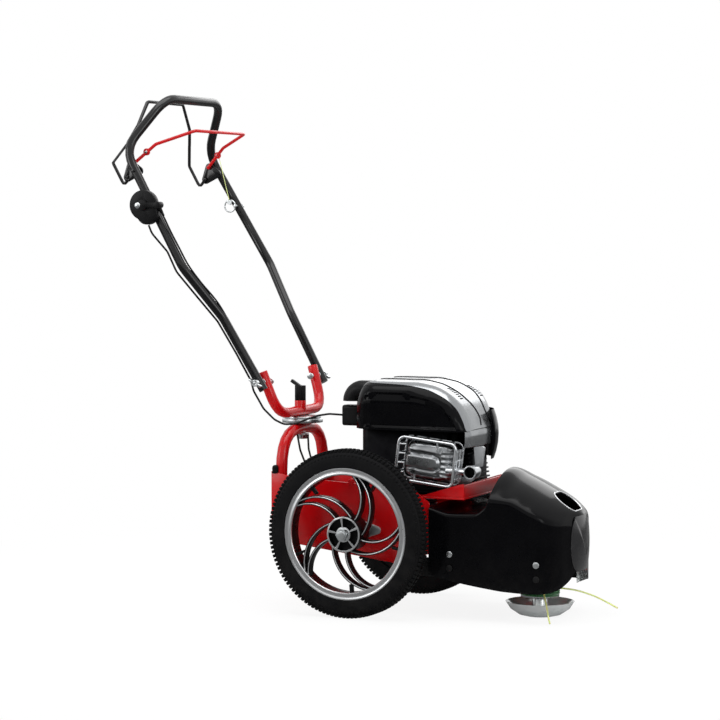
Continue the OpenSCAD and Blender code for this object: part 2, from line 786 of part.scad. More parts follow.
module throttle_lever() {
  face = -throttle_in - throttle_t - clearance;
  color(grey) {
    cross_bar(throttle_x, throttle_z, face, -throttle_in - throttle_t * lever_tip_share, lever_pin_d);
    cross_bar(throttle_x, throttle_z, face - lever_t, face, lever_hub_d);
    translate([throttle_x, face - lever_t, throttle_z - lever_w / 2]) cube([lever_l, lever_t, lever_w]);
    cross_bar(throttle_x + lever_l, throttle_z, face - lever_knob_l, face, lever_knob_d);
  }
}

// Pigtail rope guide on the left leg
guide_r = 15;
guide_d = 4;
guide_nut_h = 9;
guide_half = -leg_at(throttle_z)[1];
guide_gap = 2;
guide_out = guide_half - handle_d / 2 - guide_gap;
module rope_guide() {
  p = leg_at(throttle_z);
  color(silver) {
    cross_bar(p[0], throttle_z, guide_out - guide_d, guide_half + handle_d / 2 + guide_nut_h, stud_d);
    cross_bar(p[0], throttle_z, guide_half + handle_d / 2 + guide_d / 2,
              guide_half + handle_d / 2 + guide_nut_h, clamp_head_d);
    translate([p[0] - guide_r, guide_out - guide_d / 2, throttle_z]) rotate([90, 0, 0])
      rotate_extrude() translate([guide_r, 0]) circle(d = guide_d);
  }
}

// Engine: block, finned cylinder, shroud, covers and fittings
deck_top = deck_z + deck_t;
block_l = 230;
block_w = 168;
block_set_back = 20;
block_x = crank_x - block_set_back;
flange_h = 9;
flange_w = 22;
crank_depth = 80;
module engine_block() {
  color(grey) translate([block_x, 0, deck_top]) difference() {
    union() {
      linear_extrude(shroud_low - deck_top) round_square([block_l, block_w], flange_w);
      linear_extrude(flange_h) round_square([block_l + flange_w, block_w + flange_w], flange_w);
    }
    translate([crank_x - block_x, 0, -cut]) cylinder(d = crank_d + 2 * run_gap, h = crank_depth + cut);
  }
}
fin_count = 7;
fin_t = 4;
fin_gap = 6;
fin_l = 50;
fin_w = 116;
fin_core_share = 0.72;
fin_x = block_x + block_l / 2;
fin_rise = 34;
fin_taper = 2;
fin_z = deck_top + fin_rise;
module cylinder_fins() {
  stack = fin_count * (fin_t + fin_gap) - fin_gap;
  color(grey) translate([fin_x, 0, fin_z]) {
    for (k = [0 : fin_count - 1]) translate([0, -fin_w / 2, k * (fin_t + fin_gap)])
      cube([fin_l - k * fin_taper, fin_w, fin_t]);
    translate([0, -fin_w * fin_core_share / 2, 0])
      cube([fin_l * fin_core_share, fin_w * fin_core_share, stack]);
  }
}

shroud_ahead = 10;
shroud_x = crank_x + shroud_ahead;
shroud_h = shroud_top - shroud_low;
shroud_rear = shroud_x - shroud_l / 2;
shroud_front = shroud_x + shroud_l / 2;
shroud_rear_r = 60;
shroud_near_r = 36;
shroud_far_r = 120;
shroud_end_r = 50;
far_corner = [shroud_front - shroud_far_r, shroud_w / 2 - shroud_far_r];
shroud_shares = [[0, 0], [0, 0.7], [0.03, 0.86], [0.1, 0.97], [0.2, 1], [0.5, 1], [0.66, 0.94],
                 [0.8, 0.78], [0.9, 0.54], [0.96, 0.28], [1, 0]];
cover_shares = [[0.12, 1.2], [0.14, 0.95], [0.43, 0.92], [0.63, 0.83], [0.79, 0.65], [0.89, 0.43],
                [0.952, 0.14], [0.952, -0.5], [1.2, -0.5], [1.2, 1.2]];
recess_shares = [[0.13, 0.06], [0.13, 0.7], [0.24, 0.76], [0.43, 0.76], [0.63, 0.67], [0.78, 0.5],
                 [0.87, 0.3], [0.91, 0.06]];
recess_depth = 7;
function shroud_points(shares) =
  [for (p = shares) [shroud_rear + p[0] * shroud_l, shroud_low + p[1] * shroud_h]];
// Plan of the shroud, most rounded at the far front corner
module shroud_plan(inset) {
  half = shroud_w / 2;
  hull() {
    for (side = [-1, 1]) translate([shroud_rear + shroud_rear_r, side * (half - shroud_rear_r)])
      circle(shroud_rear_r - inset);
    translate([shroud_front - shroud_near_r, shroud_near_r - half]) circle(shroud_near_r - inset);
    translate(far_corner) circle(shroud_far_r - inset);
  }
}
module shroud_form() {
  intersection() {
    side_slab(-shroud_w / 2, shroud_w / 2) polygon(shroud_points(shroud_shares));
    translate([0, 0, shroud_low - cut]) linear_extrude(shroud_h + 2 * cut) shroud_plan(0);
    translate([shroud_rear - cut, 0, shroud_low]) rotate([90, 0, 90]) linear_extrude(shroud_l + 2 * cut)
      round_square([shroud_w, 2 * shroud_h], shroud_end_r);
  }
}
neck_set_back = 40;
neck_x = shroud_x - neck_set_back;
neck_r = 20;
neck_wall = 4;
neck_h = 60;
neck_web_share = 0.8;
neck_out = 28;
neck_y = shroud_w / 2 + neck_out;
cap_spigot_h = 10;
module engine_shroud() {
  color(glossy) difference() {
    union() {
      difference() {
        shroud_form();
        side_slab(-shroud_w, shroud_w) polygon(shroud_points(cover_shares));
        side_slab(-shroud_w, recess_depth - shroud_w / 2) polygon(shroud_points(recess_shares));
        translate([shroud_rear - cut, mouth_y, mouth_z]) rotate([0, 90, 0])
          cylinder(r = mouth_r + seat_gap, h = mouth_in + cut);
      }
      translate([neck_x, neck_y, shroud_low]) cylinder(r = neck_r, h = neck_h);
      translate([neck_x - neck_r * neck_web_share, shroud_w / 2 - neck_r, shroud_low])
        cube([2 * neck_r * neck_web_share, neck_y - shroud_w / 2 + neck_r, neck_h * neck_web_share]);
    }
    translate([neck_x, neck_y, shroud_low + neck_h - cap_spigot_h])
      cylinder(r = neck_r - neck_wall + run_gap, h = cap_spigot_h + cut);
  }
}
// Silver cover over the top and down the front, with a skirt below the shroud's lower edge
skirt_h = 38;
skirt_t = 13;
skirt_left = 60;
skirt_x = shroud_front - skirt_t;
module top_cover() {
  color(silver) translate([0, 0, clearance]) {
    intersection() {
      shroud_form();
      side_slab(-shroud_w, shroud_w) polygon(shroud_points(cover_shares));
    }
    translate([0, 0, shroud_low - skirt_h]) intersection() {
      linear_extrude(skirt_h + cut) difference() {
        shroud_plan(0);
        shroud_plan(skirt_t);
      }
      translate([skirt_x, -shroud_w, 0]) cube([2 * skirt_t, shroud_w + skirt_left, skirt_h + cut]);
    }
  }
}
cap_r = 25;
cap_h = 20;
cap_grip_count = 10;
cap_grip_d = 7;
module fuel_cap() {
  color(black) translate([neck_x, neck_y, shroud_low + neck_h + clearance]) {
    difference() {
      cylinder(r = cap_r, h = cap_h);
      for (k = [0 : cap_grip_count - 1]) rotate(360 / cap_grip_count * k)
        translate([cap_r + cap_grip_d / 4, 0, -cut]) cylinder(d = cap_grip_d, h = cap_h + 2 * cut);
    }
    translate([0, 0, -cap_spigot_h]) cylinder(r = neck_r - neck_wall, h = cap_spigot_h + cut);
  }
}
// Black rim round the far front corner, a lens in section
rim_band_h = 122;
rim_band_out = 12;
rim_band_drop = 16;
rim_band_angle = 80;
rim_band_r = (pow(rim_band_h / 2, 2) + pow(rim_band_out, 2)) / (2 * rim_band_out);
rim_band_half = asin(rim_band_h / 2 / rim_band_r);
rim_band_z = shroud_low - rim_band_drop;
module front_rim() {
  color(glossy) translate([far_corner[0], far_corner[1], rim_band_z]) rotate_extrude(angle = rim_band_angle)
    translate([shroud_far_r + clearance, 0])
      polygon(arc([rim_band_out - rim_band_r, 0], rim_band_r, -rim_band_half, rim_band_half, bend_steps));
}
// Air intake: an elbow let into the shroud's rear, with its mouth turned down
mouth_r = 24;
mouth_in = 30;
mouth_turn = 26;
mouth_wall = 6;
mouth_depth_angle = 35;
mouth_y = -55;
mouth_rise_share = 0.76;
mouth_z = shroud_low + shroud_h * mouth_rise_share;
module rear_cap() {
  color(grey) {
    translate([shroud_rear, mouth_y, mouth_z]) rotate([0, 90, 0]) cylinder(r = mouth_r, h = mouth_in);
    translate([shroud_rear, mouth_y, mouth_z - mouth_turn]) rotate([90, 0, 0]) difference() {
      rotate(90) rotate_extrude(angle = 90) translate([mouth_turn, 0]) circle(mouth_r);
      rotate(180 - mouth_depth_angle) rotate_extrude(angle = mouth_depth_angle + cut)
        translate([mouth_turn, 0]) circle(mouth_r - mouth_wall);
    }
  }
}
box_l = 53;
box_w = 40;
box_h = 50;
box_r = 8;
box_y = -42;
module carburettor_box() {
  color(black) translate([shroud_rear, box_y, shroud_low + box_h / 2]) rotate([0, -90, 0])
    linear_extrude(box_l) round_square([box_h, box_w], box_r);
}
// Place of the muffler guard, which the dipstick stands behind
guard_x = 167;
guard_z = 374;
guard_reach = 10;
guard_stand_off = 8;
guard_out = max(shroud_w / 2 + guard_reach, block_w / 2 + guard_stand_off + guard_t);
// Dipstick: a bent tube from the block's front and a tapered pull
dip_x = 281;
dip_in = 2;
dip_y = guard_t - guard_out - dip_in;
dip_z = 358;
dip_base_y = -72;
dip_base_rise = 34;
dip_base_d = 24;
dip_base_l = 12;
dip_tube_d = 14;
dip_knee_back = 19;
dip_knee_in = 4;
dip_knee_drop = 31;
dip_knee = [dip_x - dip_knee_back, dip_y + dip_knee_in, dip_z - dip_knee_drop];
dip_bend = 20;
dip_h = 48;
dip_w = 28;
dip_t = 11;
dip_shares = [[-0.28, 0], [0.28, 0], [0.5, 0.92], [0.3, 1], [-0.4, 0.94]];
module dipstick() {
  base = [fin_x + seat_gap, dip_base_y, deck_top + dip_base_rise];
  color(grey) {
    translate(base) rotate([0, 90, 0]) cylinder(d = dip_base_d, h = dip_base_l);
    swept(rounded([base + [dip_base_l / 2, 0, 0], dip_knee, [dip_x, dip_y, dip_z + dip_t]],
                  dip_bend, bend_steps), dip_tube_d, rod_sides);
    translate([dip_x, dip_y + dip_t / 2, dip_z]) rotate([90, 0, 0]) linear_extrude(dip_t)
      polygon([for (p = dip_shares) [p[0] * dip_w, p[1] * dip_h]]);
  }
}

// Muffler with louvres, its pierced guard, and the outlet
guard_wall = 3;
guard_r = 20;
frame_w = 9;
slot_zone = 22;
slot_t = 5;
slot_count = 3;
pierce_count = 4;
slot_pitch_share = 0.26;
pierce_low_share = 0.36;
pierce_h_share = 0.13;
muffler_end_gap = 14;
muffler_side_gap = 12;
muffler_stand_off = 10;
muffler_face_gap = 8;
muffler_l = guard_w - 2 * muffler_end_gap;
muffler_h = guard_h - 2 * muffler_side_gap;
muffler_in = block_w / 2 + muffler_stand_off;
muffler_out = guard_out - muffler_face_gap;
louvre_count = 6;
louvre_t = 4;
louvre_h = 3;
louvre_back_share = 0.36;
louvre_low_share = 0.4;
louvre_l_share = 0.8;
port_back_share = 0.3;
port_drop_share = 0.2;
module muffler() {
  color(silver) {
    translate([guard_x, -muffler_in, guard_z]) rotate([90, 0, 0])
      linear_extrude(muffler_out - muffler_in - louvre_h)
        round_square([muffler_l, muffler_h], guard_r - guard_wall * 2);
    for (k = [0 : louvre_count - 1])
      translate([guard_x - muffler_l * louvre_back_share, -muffler_out,
                 guard_z + muffler_h * louvre_low_share * (2 * k / louvre_count - 1)])
        cube([muffler_l * louvre_l_share, louvre_h + cut, louvre_t * 2]);
    cross_bar(guard_x - muffler_l * port_back_share, guard_z - muffler_h * port_drop_share,
              -muffler_in - cut, -block_w / 2, outlet_d);
  }
}
// Tabs of the guard that are screwed to the block
guard_tab_w = 18;
guard_tab_shares = [-0.26, 0.13];
module muffler_guard() {
  window_l = guard_w - 2 * frame_w - slot_zone;
  color(silver) translate([guard_x, 0, guard_z]) difference() {
    union() {
      translate([0, guard_t - guard_out, 0]) rotate([90, 0, 0]) linear_extrude(guard_t)
        round_square([guard_w, guard_h], guard_r);
      for (share = guard_tab_shares)
        translate([share * guard_w, guard_t - guard_out - cut, guard_h / 2 - guard_wall])
          cube([guard_tab_w, guard_out - guard_t - block_w / 2 + cut, guard_wall]);
    }
    translate([0, guard_t - guard_out + cut, 0]) rotate([90, 0, 0])
      linear_extrude(guard_t - guard_wall + cut)
        round_square([guard_w - 2 * guard_wall, guard_h - 2 * guard_wall], guard_r - guard_wall);
    translate([slot_zone / 2, cut - guard_out + guard_wall, 0]) rotate([90, 0, 0])
      linear_extrude(guard_wall + 2 * cut)
        round_square([window_l, guard_h - 2 * frame_w], guard_r - guard_wall * 2);
    for (k = [0 : slot_count - 1])
      translate([-guard_w / 2 + frame_w, -guard_out - cut,
                 (k - 1) * guard_h * slot_pitch_share - slot_zone / 2])
        cube([slot_zone - slot_t, guard_wall + 2 * cut, slot_zone]);
    for (k = [0 : pierce_count - 1], row = [0, 1])
      translate([guard_w / 2 - guard_wall - cut, slot_t * 2 - guard_out + row * slot_zone,
                 guard_h * pierce_low_share * (2 * k / pierce_count - 1)])
        cube([guard_wall + 2 * cut, slot_zone - slot_t, guard_h * pierce_h_share]);
  }
}
outlet_reach = 20;
outlet_x = guard_x + guard_w / 2 + outlet_reach + outlet_d / 2;
outlet_drop_share = 0.22;
outlet_z = guard_z - guard_h * outlet_drop_share;
outlet_l = 34;
outlet_wall = 3;
stub_d = 16;
module exhaust_outlet() {
  stub_x = guard_x + guard_w / 2 + seat_gap;
  color(silver) {
    difference() {
      cross_bar(outlet_x, outlet_z, -guard_out, -guard_out + outlet_l, outlet_d);
      cross_bar(outlet_x, outlet_z, -guard_out - cut, -guard_out + outlet_l - 2 * outlet_wall,
                outlet_d - 2 * outlet_wall);
    }
    translate([stub_x, outlet_l / 2 - guard_out, outlet_z]) rotate([0, 90, 0])
      cylinder(d = stub_d, h = outlet_x - outlet_d / 2 + outlet_wall - clearance - stub_x);
  }
}

// Crankshaft with its two pulleys, and the belt to the head
pulley_gap = 6;
crank_tip = 6;
head_z = drive_z - pulley_h - pulley_gap;
crank_low = head_z - crank_tip;
module crankshaft() {
  color(grey) translate([crank_x, 0, 0]) {
    translate([0, 0, crank_low]) cylinder(d = crank_d, h = deck_top + crank_depth - clearance - crank_low);
    translate([0, 0, head_z]) pulley(crank_pulley_d);
    translate([0, 0, drive_z]) pulley(drive_pulley_d);
  }
}
module head_belt() {
  color(black) belt_loop(crank_x, crank_pulley_d - 2 * belt_inset, head_x, driven_d - 2 * belt_inset,
                         head_z + pulley_lip + belt_w * groove_share + clearance);
}

// Hood: a shell lofted through sections with an arched roof
hood_l = hood_nose - hood_rear;
// Each section's place along the hood, half width, lower edge, crease and top, all as shares
hood_shares = [[0, 1, 0.3, 0.75, 0.765], [0.17, 1, 0.263, 0.714, 0.726], [0.345, 1, 0.237, 0.72, 0.735],
               [0.435, 1, 0.226, 0.775, 0.81], [0.46, 1, 0.223, 0.82, 1], [0.585, 1, 0.211, 0.817, 0.951],
               [0.76, 1, 0.206, 0.749, 0.871], [0.843, 0.955, 0.206, 0.711, 0.829],
               [0.905, 0.833, 0.211, 0.683, 0.789], [0.948, 0.647, 0.231, 0.663, 0.76],
               [0.978, 0.43, 0.271, 0.651, 0.734], [1, 0.27, 0.326, 0.643, 0.711]];
hood_brow_share = 0.4;
hood_taper_share = 0.7;
roof_steps = 10;
// Half width of the hood at a distance ahead of the axle
function hood_half(x) = hood_w / 2 * lookup((x - hood_rear) / hood_l, [for (p = hood_shares) [p[0], p[1]]]);
// Shift of an inner section: out of the open rear, ahead of the brow and behind the nose
function hood_shift(share, wall) = wall == 0 ? 0
  : share == 0 ? -cut : share < hood_brow_share ? 0 : share < hood_taper_share ? wall : -wall;
function hood_section(p, wall, drop) =
  let(x = hood_rear + p[0] * hood_l + hood_shift(p[0], wall), w = p[1] * hood_w / 2 - wall,
      low = p[2] * hood_top - drop, crease = p[3] * hood_top - wall, rise = (p[4] - p[3]) * hood_top)
  [[x, w, low],
   for (k = [0 : roof_steps]) let(y = 1 - 2 * k / roof_steps) [x, y * w, crease + rise * (1 - y * y)],
   [x, -w, low]];
module lofted(sections) {
  n = len(sections[0]);
  last = (len(sections) - 1) * n;
  polyhedron([for (s = sections) each s], [
    for (i = [0 : len(sections) - 2]) for (k = [0 : n - 1])
      let(q = i * n, j = (k + 1) % n) each [[q + k, q + n + j, q + j], [q + k, q + n + k, q + n + j]],
    [for (k = [0 : n - 1]) k],
    [for (k = [n - 1 : -1 : 0]) last + k]
  ]);
}
tab_rear_x = 232;
tab_front_x = 446;
bolt_rear_high = 155;
bolt_rear_low = 122;
bolt_front_high = 140;
bolt_front_low = 107;
hood_tab_places = [tab_rear_x, tab_front_x];
hood_bolt_places = [[tab_rear_x, bolt_rear_high], [tab_rear_x, bolt_rear_low],
                    [tab_front_x, bolt_front_high], [tab_front_x, bolt_front_low]];
hood_bolt_d = 8;
// Oval opening in the roof above the nose
oval_r = 27;
oval_half = 14;
oval_set_back = 34;
hood_drop = 40;
module hood() {
  color(glossy) difference() {
    lofted([for (p = hood_shares) hood_section(p, 0, 0)]);
    lofted([for (p = hood_shares) hood_section(p, hood_wall, hood_drop)]);
    translate([hood_nose - oval_set_back, 0, hood_top / 2]) linear_extrude(hood_top) hull()
      for (side = [-1, 1]) translate([0, side * oval_half]) circle(oval_r);
    for (p = hood_bolt_places) cross_bar(p[0], p[1], -hood_w, hood_w, hood_bolt_d + 2 * seat_gap);
  }
}
hood_head_d = 15;
hood_head_h = 5;
tab_w = 24;
tab_low = 96;
tab_t = 5;
module hood_bolts() {
  color(silver) both_sides() for (p = hood_bolt_places) {
    face = hood_half(p[0] - hood_head_d / 2) + seat_gap;
    cross_bar(p[0], p[1], rail_out, face + hood_head_h, hood_bolt_d);
    cross_bar(p[0], p[1], face, face + hood_head_h, hood_head_d);
  }
}
flap_w = 70;
flap_h = 44;
flap_t = 2;
flap_lap = 18;
hood_low_nose = hood_shares[len(hood_shares) - 1][2] * hood_top;
module front_flap() {
  color("#e8ecec") translate([hood_nose + seat_gap, -flap_w / 2, hood_low_nose + flap_lap - flap_h])
    cube([flap_t, flap_w, flap_h]);
}

// Spindle, driven pulley, line head and ground dish
housing_low = 118;
housing_gap = 4;
housing_top = head_z - housing_gap;
housing_flange_r = 50;
housing_flange_t = 6;
bridge_top = rail_z + rail_h;
module spindle_housing() {
  color(grey) translate([head_x, 0, 0]) difference() {
    union() {
      translate([0, 0, housing_low]) cylinder(r = housing_r, h = housing_top - housing_low);
      translate([0, 0, bridge_top])
        cylinder(r = housing_flange_r, h = min(housing_flange_t, housing_top - bridge_top));
    }
    translate([0, 0, housing_low - cut])
      cylinder(d = spindle_d + 2 * run_gap, h = housing_top - housing_low + 2 * cut);
  }
}
head_low = 46;
head_h = 34;
spindle_tip = 12;
spindle_top = head_z + pulley_h + spindle_tip;
module spindle_shaft() {
  color(silver) translate([head_x, 0, head_low]) cylinder(d = spindle_d, h = spindle_top - head_low);
}
module driven_pulley() {
  color(grey) translate([head_x, 0, head_z]) difference() {
    pulley(driven_d);
    translate([0, 0, -cut]) cylinder(d = spindle_d + 2 * seat_gap, h = pulley_h + 2 * cut);
  }
}
head_lip = 4;
module line_head() {
  color("#2f6b3a") translate([head_x, 0, head_low]) difference() {
    union() {
      cylinder(d = head_d - 4 * head_lip, h = head_h);
      cylinder(d = head_d, h = head_lip * 2);
      translate([0, 0, head_h - head_lip * 2]) cylinder(d = head_d, h = head_lip * 2);
    }
    translate([0, 0, -cut]) cylinder(d = spindle_d + 2 * seat_gap, h = head_h + 2 * cut);
  }
}
dish_t = 3;
dish_foot_r = 34;
dish_neck_r = 18;
dish_under_shares = [[0.62, 0.12], [0.86, 0.5], [1, 1]];
dish_over_shares = [[0.84, 0.5], [0.6, 0.12]];
module ground_dish() {
  r = dish_d / 2;
  color(silver) translate([head_x, 0, 0]) rotate_extrude() polygon([
    [0, 0], [dish_foot_r, 0], for (p = dish_under_shares) [p[0] * r, p[1] * dish_h],
    [r - dish_t, dish_h], for (p = dish_over_shares) [p[0] * r, p[1] * dish_h + dish_t],
    [dish_neck_r, dish_t * 2], [dish_neck_r, head_low - seat_gap], [0, head_low - seat_gap]]);
}

// Routes of the nylon lines and the cables, chosen by hand
line_sides = 8;
front_route = [[434, 19, 64], [452, 29, 63], [480, 46, 57], [512, 66, 44], [540, 82, 28], [562, 94, 14]];
side_route = [[418.5, -34, 64], [428, -52, 62], [442, -82, 52], [458, -112, 34],
              [470, -134, 16], [478, -148, 6]];
cable_d = 5;
leg_route = [[-512, -252, 924], [-506, -247, 904], [-468, -239, 860], [-441, -244, 812], [-399, -217, 751],
             [-358, -190, 692], [-312, -182, 615], [-276, -178, 552]];
engine_route = [[-275, -177, 550], [-269, -176, 526], [-245, -170, 483], [-221, -160, 457], [-202, -146, 445],
                [-181, -126, 446], [-161, -104, 456], [-141, -82, 464], [-122, -60, 467], [-104, -45, 465],
                [-89, -42, 464]];
drive_route = [[-218, 22, 411], [-214, 18, 372], [-196, 12, 318], [-150, 10, 268],
               [-110, 9, 245], [-68, 9, 225]];
spare_route = [[-226, -22, 411], [-220, -18, 372], [-200, -12, 318], [-152, -10, 262], [-112, -9, 238],
               [-68, -9, 216]];
cable_bend = 30;
module route(p, d) { swept(rounded(p, cable_bend, 2), d, line_sides, [0.1, 1, 0]); }
module front_line() { color(brass_line) route(front_route, line_d); }
module side_line() { color(brass_line) route(side_route, line_d); }
module leg_cable() { color(black) route(leg_route, cable_d); }
module engine_cable() { color(black) route(engine_route, cable_d); }
module drive_cables() {
  color(black) {
    route(drive_route, cable_d);
    route(spare_route, cable_d);
  }
}

right_tyre();
left_tyre();
right_wheel();
left_wheel();
right_half_shaft();
left_half_shaft();
right_axle_nut();
left_axle_nut();
right_side_plate();
left_side_plate();
axle_bearings();
gearbox();
input_pulley();
drive_belt();
cross_tubes();
engine_plate();
front_gussets();
front_frame();
arch_tube();
arch_bolt();
swivel_base();
swivel_disc();
yoke();
lock_knob();
handle_tube();
clamp_bolts();
wing_nuts();
bail_brackets();
black_bail();
red_bail();
throttle_housing();
throttle_lever();
rope_guide();
engine_block();
cylinder_fins();
engine_shroud();
top_cover();
front_rim();
rear_cap();
carburettor_box();
fuel_cap();
dipstick();
muffler();
muffler_guard();
exhaust_outlet();
crankshaft();
head_belt();
hood();
hood_bolts();
front_flap();
spindle_housing();
spindle_shaft();
driven_pulley();
line_head();
front_line();
side_line();
ground_dish();
leg_cable();
engine_cable();
drive_cables();
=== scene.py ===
# Wheeled string trimmer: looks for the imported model, one dictionary of sizes beside each piece
import json
import math

import bmesh
import bpy
from mathutils import Matrix, Vector


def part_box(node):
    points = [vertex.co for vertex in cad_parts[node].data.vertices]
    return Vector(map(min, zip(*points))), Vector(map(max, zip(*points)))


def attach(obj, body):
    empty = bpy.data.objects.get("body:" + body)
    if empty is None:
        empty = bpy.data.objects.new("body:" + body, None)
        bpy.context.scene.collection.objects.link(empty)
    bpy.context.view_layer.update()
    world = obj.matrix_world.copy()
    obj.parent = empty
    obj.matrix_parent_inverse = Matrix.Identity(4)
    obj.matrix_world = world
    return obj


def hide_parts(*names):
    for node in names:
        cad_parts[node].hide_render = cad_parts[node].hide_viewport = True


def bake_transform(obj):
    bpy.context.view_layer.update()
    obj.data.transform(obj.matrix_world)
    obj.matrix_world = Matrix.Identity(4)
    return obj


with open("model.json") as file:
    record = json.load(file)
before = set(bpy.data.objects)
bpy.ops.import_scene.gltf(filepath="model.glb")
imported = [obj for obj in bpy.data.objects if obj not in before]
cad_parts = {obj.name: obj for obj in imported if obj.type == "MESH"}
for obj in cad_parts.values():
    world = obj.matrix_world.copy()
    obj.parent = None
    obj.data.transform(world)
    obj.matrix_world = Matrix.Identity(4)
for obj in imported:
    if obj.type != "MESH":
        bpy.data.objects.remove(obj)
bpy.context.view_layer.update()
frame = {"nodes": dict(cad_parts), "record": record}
bodyOf = {node: body for body, nodes in frame["record"]["behaviour"]["bodies"].items() for node in nodes}
slotOf = {part["node"]: part["material_slot"] for part in frame["record"]["subparts"]}
dressed = set()  # nodes that a piece of this script replaces

mm = 0.001


# Puts a constant on a socket, or links another socket to it
def feed(tree, socket, value):
    if isinstance(value, bpy.types.NodeSocket):
        tree.links.new(value, socket)
    else:
        socket.default_value = value


def addNode(tree, kind, settings=None, inputs=None):
    node = tree.nodes.new(kind)
    for label, value in (settings or {}).items():
        setattr(node, label, value)
    for label, value in (inputs or {}).items():
        feed(tree, node.inputs[label], value)
    return node


def mathNode(tree, operation, first, second, clamp=False):
    settings = {"operation": operation, "use_clamp": clamp}
    return addNode(tree, "ShaderNodeMath", settings, {0: first, 1: second}).outputs[0]


def rampNode(tree, source, low, high, fromValue=0.0, toValue=1.0):
    inputs = {"Value": source, "From Min": low, "From Max": high, "To Min": fromValue, "To Max": toValue}
    return addNode(tree, "ShaderNodeMapRange", None, inputs).outputs["Result"]


def noiseNode(tree, place, scale, detail, roughness=0.5):
    inputs = {"Vector": place, "Scale": scale, "Detail": detail, "Roughness": roughness}
    return addNode(tree, "ShaderNodeTexNoise", None, inputs).outputs["Fac"]


# Shader groups that several finishes share, each with a Vector input beside the given ones
def newGroup(name, inputs, outputs):
    tree = bpy.data.node_groups.new(name, "ShaderNodeTree")
    for label, value in {"Vector": (0.0, 0.0, 0.0), **inputs}.items():
        kind = "NodeSocketVector" if isinstance(value, tuple) else "NodeSocketFloat"
        tree.interface.new_socket(label, in_out="INPUT", socket_type=kind).default_value = value
    for label in outputs:
        tree.interface.new_socket(label, in_out="OUTPUT", socket_type="NodeSocketFloat")
    return tree, tree.nodes.new("NodeGroupInput").outputs, tree.nodes.new("NodeGroupOutput").inputs


def grainGroup():
    tree, given, result = newGroup("fineGrain", {"Scale": 900.0, "Mottle": 25.0}, ("Height", "Mottle"))
    for scale, target, detail, roughness in (("Scale", "Height", 3.0, 0.6), ("Mottle", "Mottle", 4.0, 0.55)):
        tree.links.new(noiseNode(tree, given["Vector"], given[scale], detail, roughness), result[target])
    return tree


def streakGroup():
    tree, given, result = newGroup("brushedStreak", {"Stretch": (1200.0, 40.0, 1200.0)}, ("Height",))
    inputs = {"Vector": given["Vector"], "Scale": given["Stretch"]}
    stretched = addNode(tree, "ShaderNodeMapping", None, inputs).outputs["Vector"]
    tree.links.new(noiseNode(tree, stretched, 1.0, 2.0), result["Height"])
    return tree


# Patches of noise, kept to where they may lie, times an amount
def patchMask(tree, given, result, where, noise, low, high):
    patch = mathNode(tree, "MULTIPLY", where, rampNode(tree, noise, low, high))
    tree.links.new(mathNode(tree, "MULTIPLY", patch, given["Amount"], True), result["Mask"])
    return tree


def dustGroup():
    tree, given, result = newGroup("settledDust", {"Top": 0.25, "Amount": 0.3}, ("Mask",))
    height = addNode(tree, "ShaderNodeSeparateXYZ", None, {0: given["Vector"]}).outputs["Z"]
    fall = mathNode(tree, "SUBTRACT", 1.0, mathNode(tree, "DIVIDE", height, given["Top"]), True)
    return patchMask(tree, given, result, fall, noiseNode(tree, given["Vector"], 38.0, 6.0, 0.65), 0.42, 0.75)


def wearGroup():
    tree, given, result = newGroup("edgeWear", {"Amount": 0.5}, ("Mask",))
    edge = rampNode(tree, addNode(tree, "ShaderNodeNewGeometry").outputs["Pointiness"], 0.53, 0.62)
    return patchMask(tree, given, result, edge, noiseNode(tree, given["Vector"], 160.0, 5.0, 0.7), 0.5, 0.62)


groups = {"grain": grainGroup(), "streak": streakGroup(), "dust": dustGroup(), "wear": wearGroup()}


def startMaterial(name, inputs):
    material = bpy.data.materials.new(name)
    material.use_nodes = True
    tree = material.node_tree
    shader = tree.nodes["Principled BSDF"].inputs
    for label, value in inputs.items():
        shader[label].default_value = value
    return material, tree, shader, addNode(tree, "ShaderNodeTexCoord").outputs["Object"]


def useGroup(tree, key, place, inputs):
    return addNode(tree, "ShaderNodeGroup", {"node_tree": groups[key]}, {"Vector": place, **inputs}).outputs


def mixColours(tree, mask, first, second):
    first, second = (value + (1.0,) if isinstance(value, tuple) else value for value in (first, second))
    inputs = {"Factor": mask, 6: first, 7: second}  # 6 and 7 are the colour sockets
    return addNode(tree, "ShaderNodeMix", {"data_type": "RGBA"}, inputs).outputs[2]


# Links the colour, roughness and bump that change over the surface
def linkSurface(tree, shader, colour, rough, height, bump, depth=0.0002):
    normal = addNode(tree, "ShaderNodeBump", None, {"Height": height, "Strength": bump, "Distance": depth})
    tree.links.new(colour, shader["Base Color"])
    tree.links.new(rough, shader["Roughness"])
    tree.links.new(normal.outputs["Normal"], shader["Normal"])


# A painted or moulded finish: mottled colour, grain, dust near the ground and wear on the edges
def coatedFinish(name, colour, shade, rough, grain, dust=0.15, dustTop=0.3, wear=0.3, bare=(0.3, 0.3, 0.3),
                 bump=0.1, specular=0.5, metallic=0.0, subsurface=0.0):
    material, tree, shader, place = startMaterial(name, {
        "Specular IOR Level": specular, "Metallic": metallic, "Subsurface Weight": subsurface})
    grained = useGroup(tree, "grain", place, {"Scale": grain, "Mottle": 22.0})
    dusty = useGroup(tree, "dust", place, {"Top": dustTop, "Amount": dust})["Mask"]
    worn = useGroup(tree, "wear", place, {"Amount": wear})["Mask"]
    mixed = mixColours(tree, rampNode(tree, grained["Mottle"], 0.3, 0.7), colour, shade)
    mixed = mixColours(tree, dusty, mixColours(tree, worn, mixed, bare), (0.22, 0.2, 0.17))
    matte = mathNode(tree, "ADD", rampNode(tree, grained["Mottle"], 0.25, 0.75, *rough),
                     mathNode(tree, "MULTIPLY", dusty, 0.4), True)
    linkSurface(tree, shader, mixed, matte, grained["Height"], bump)
    return material


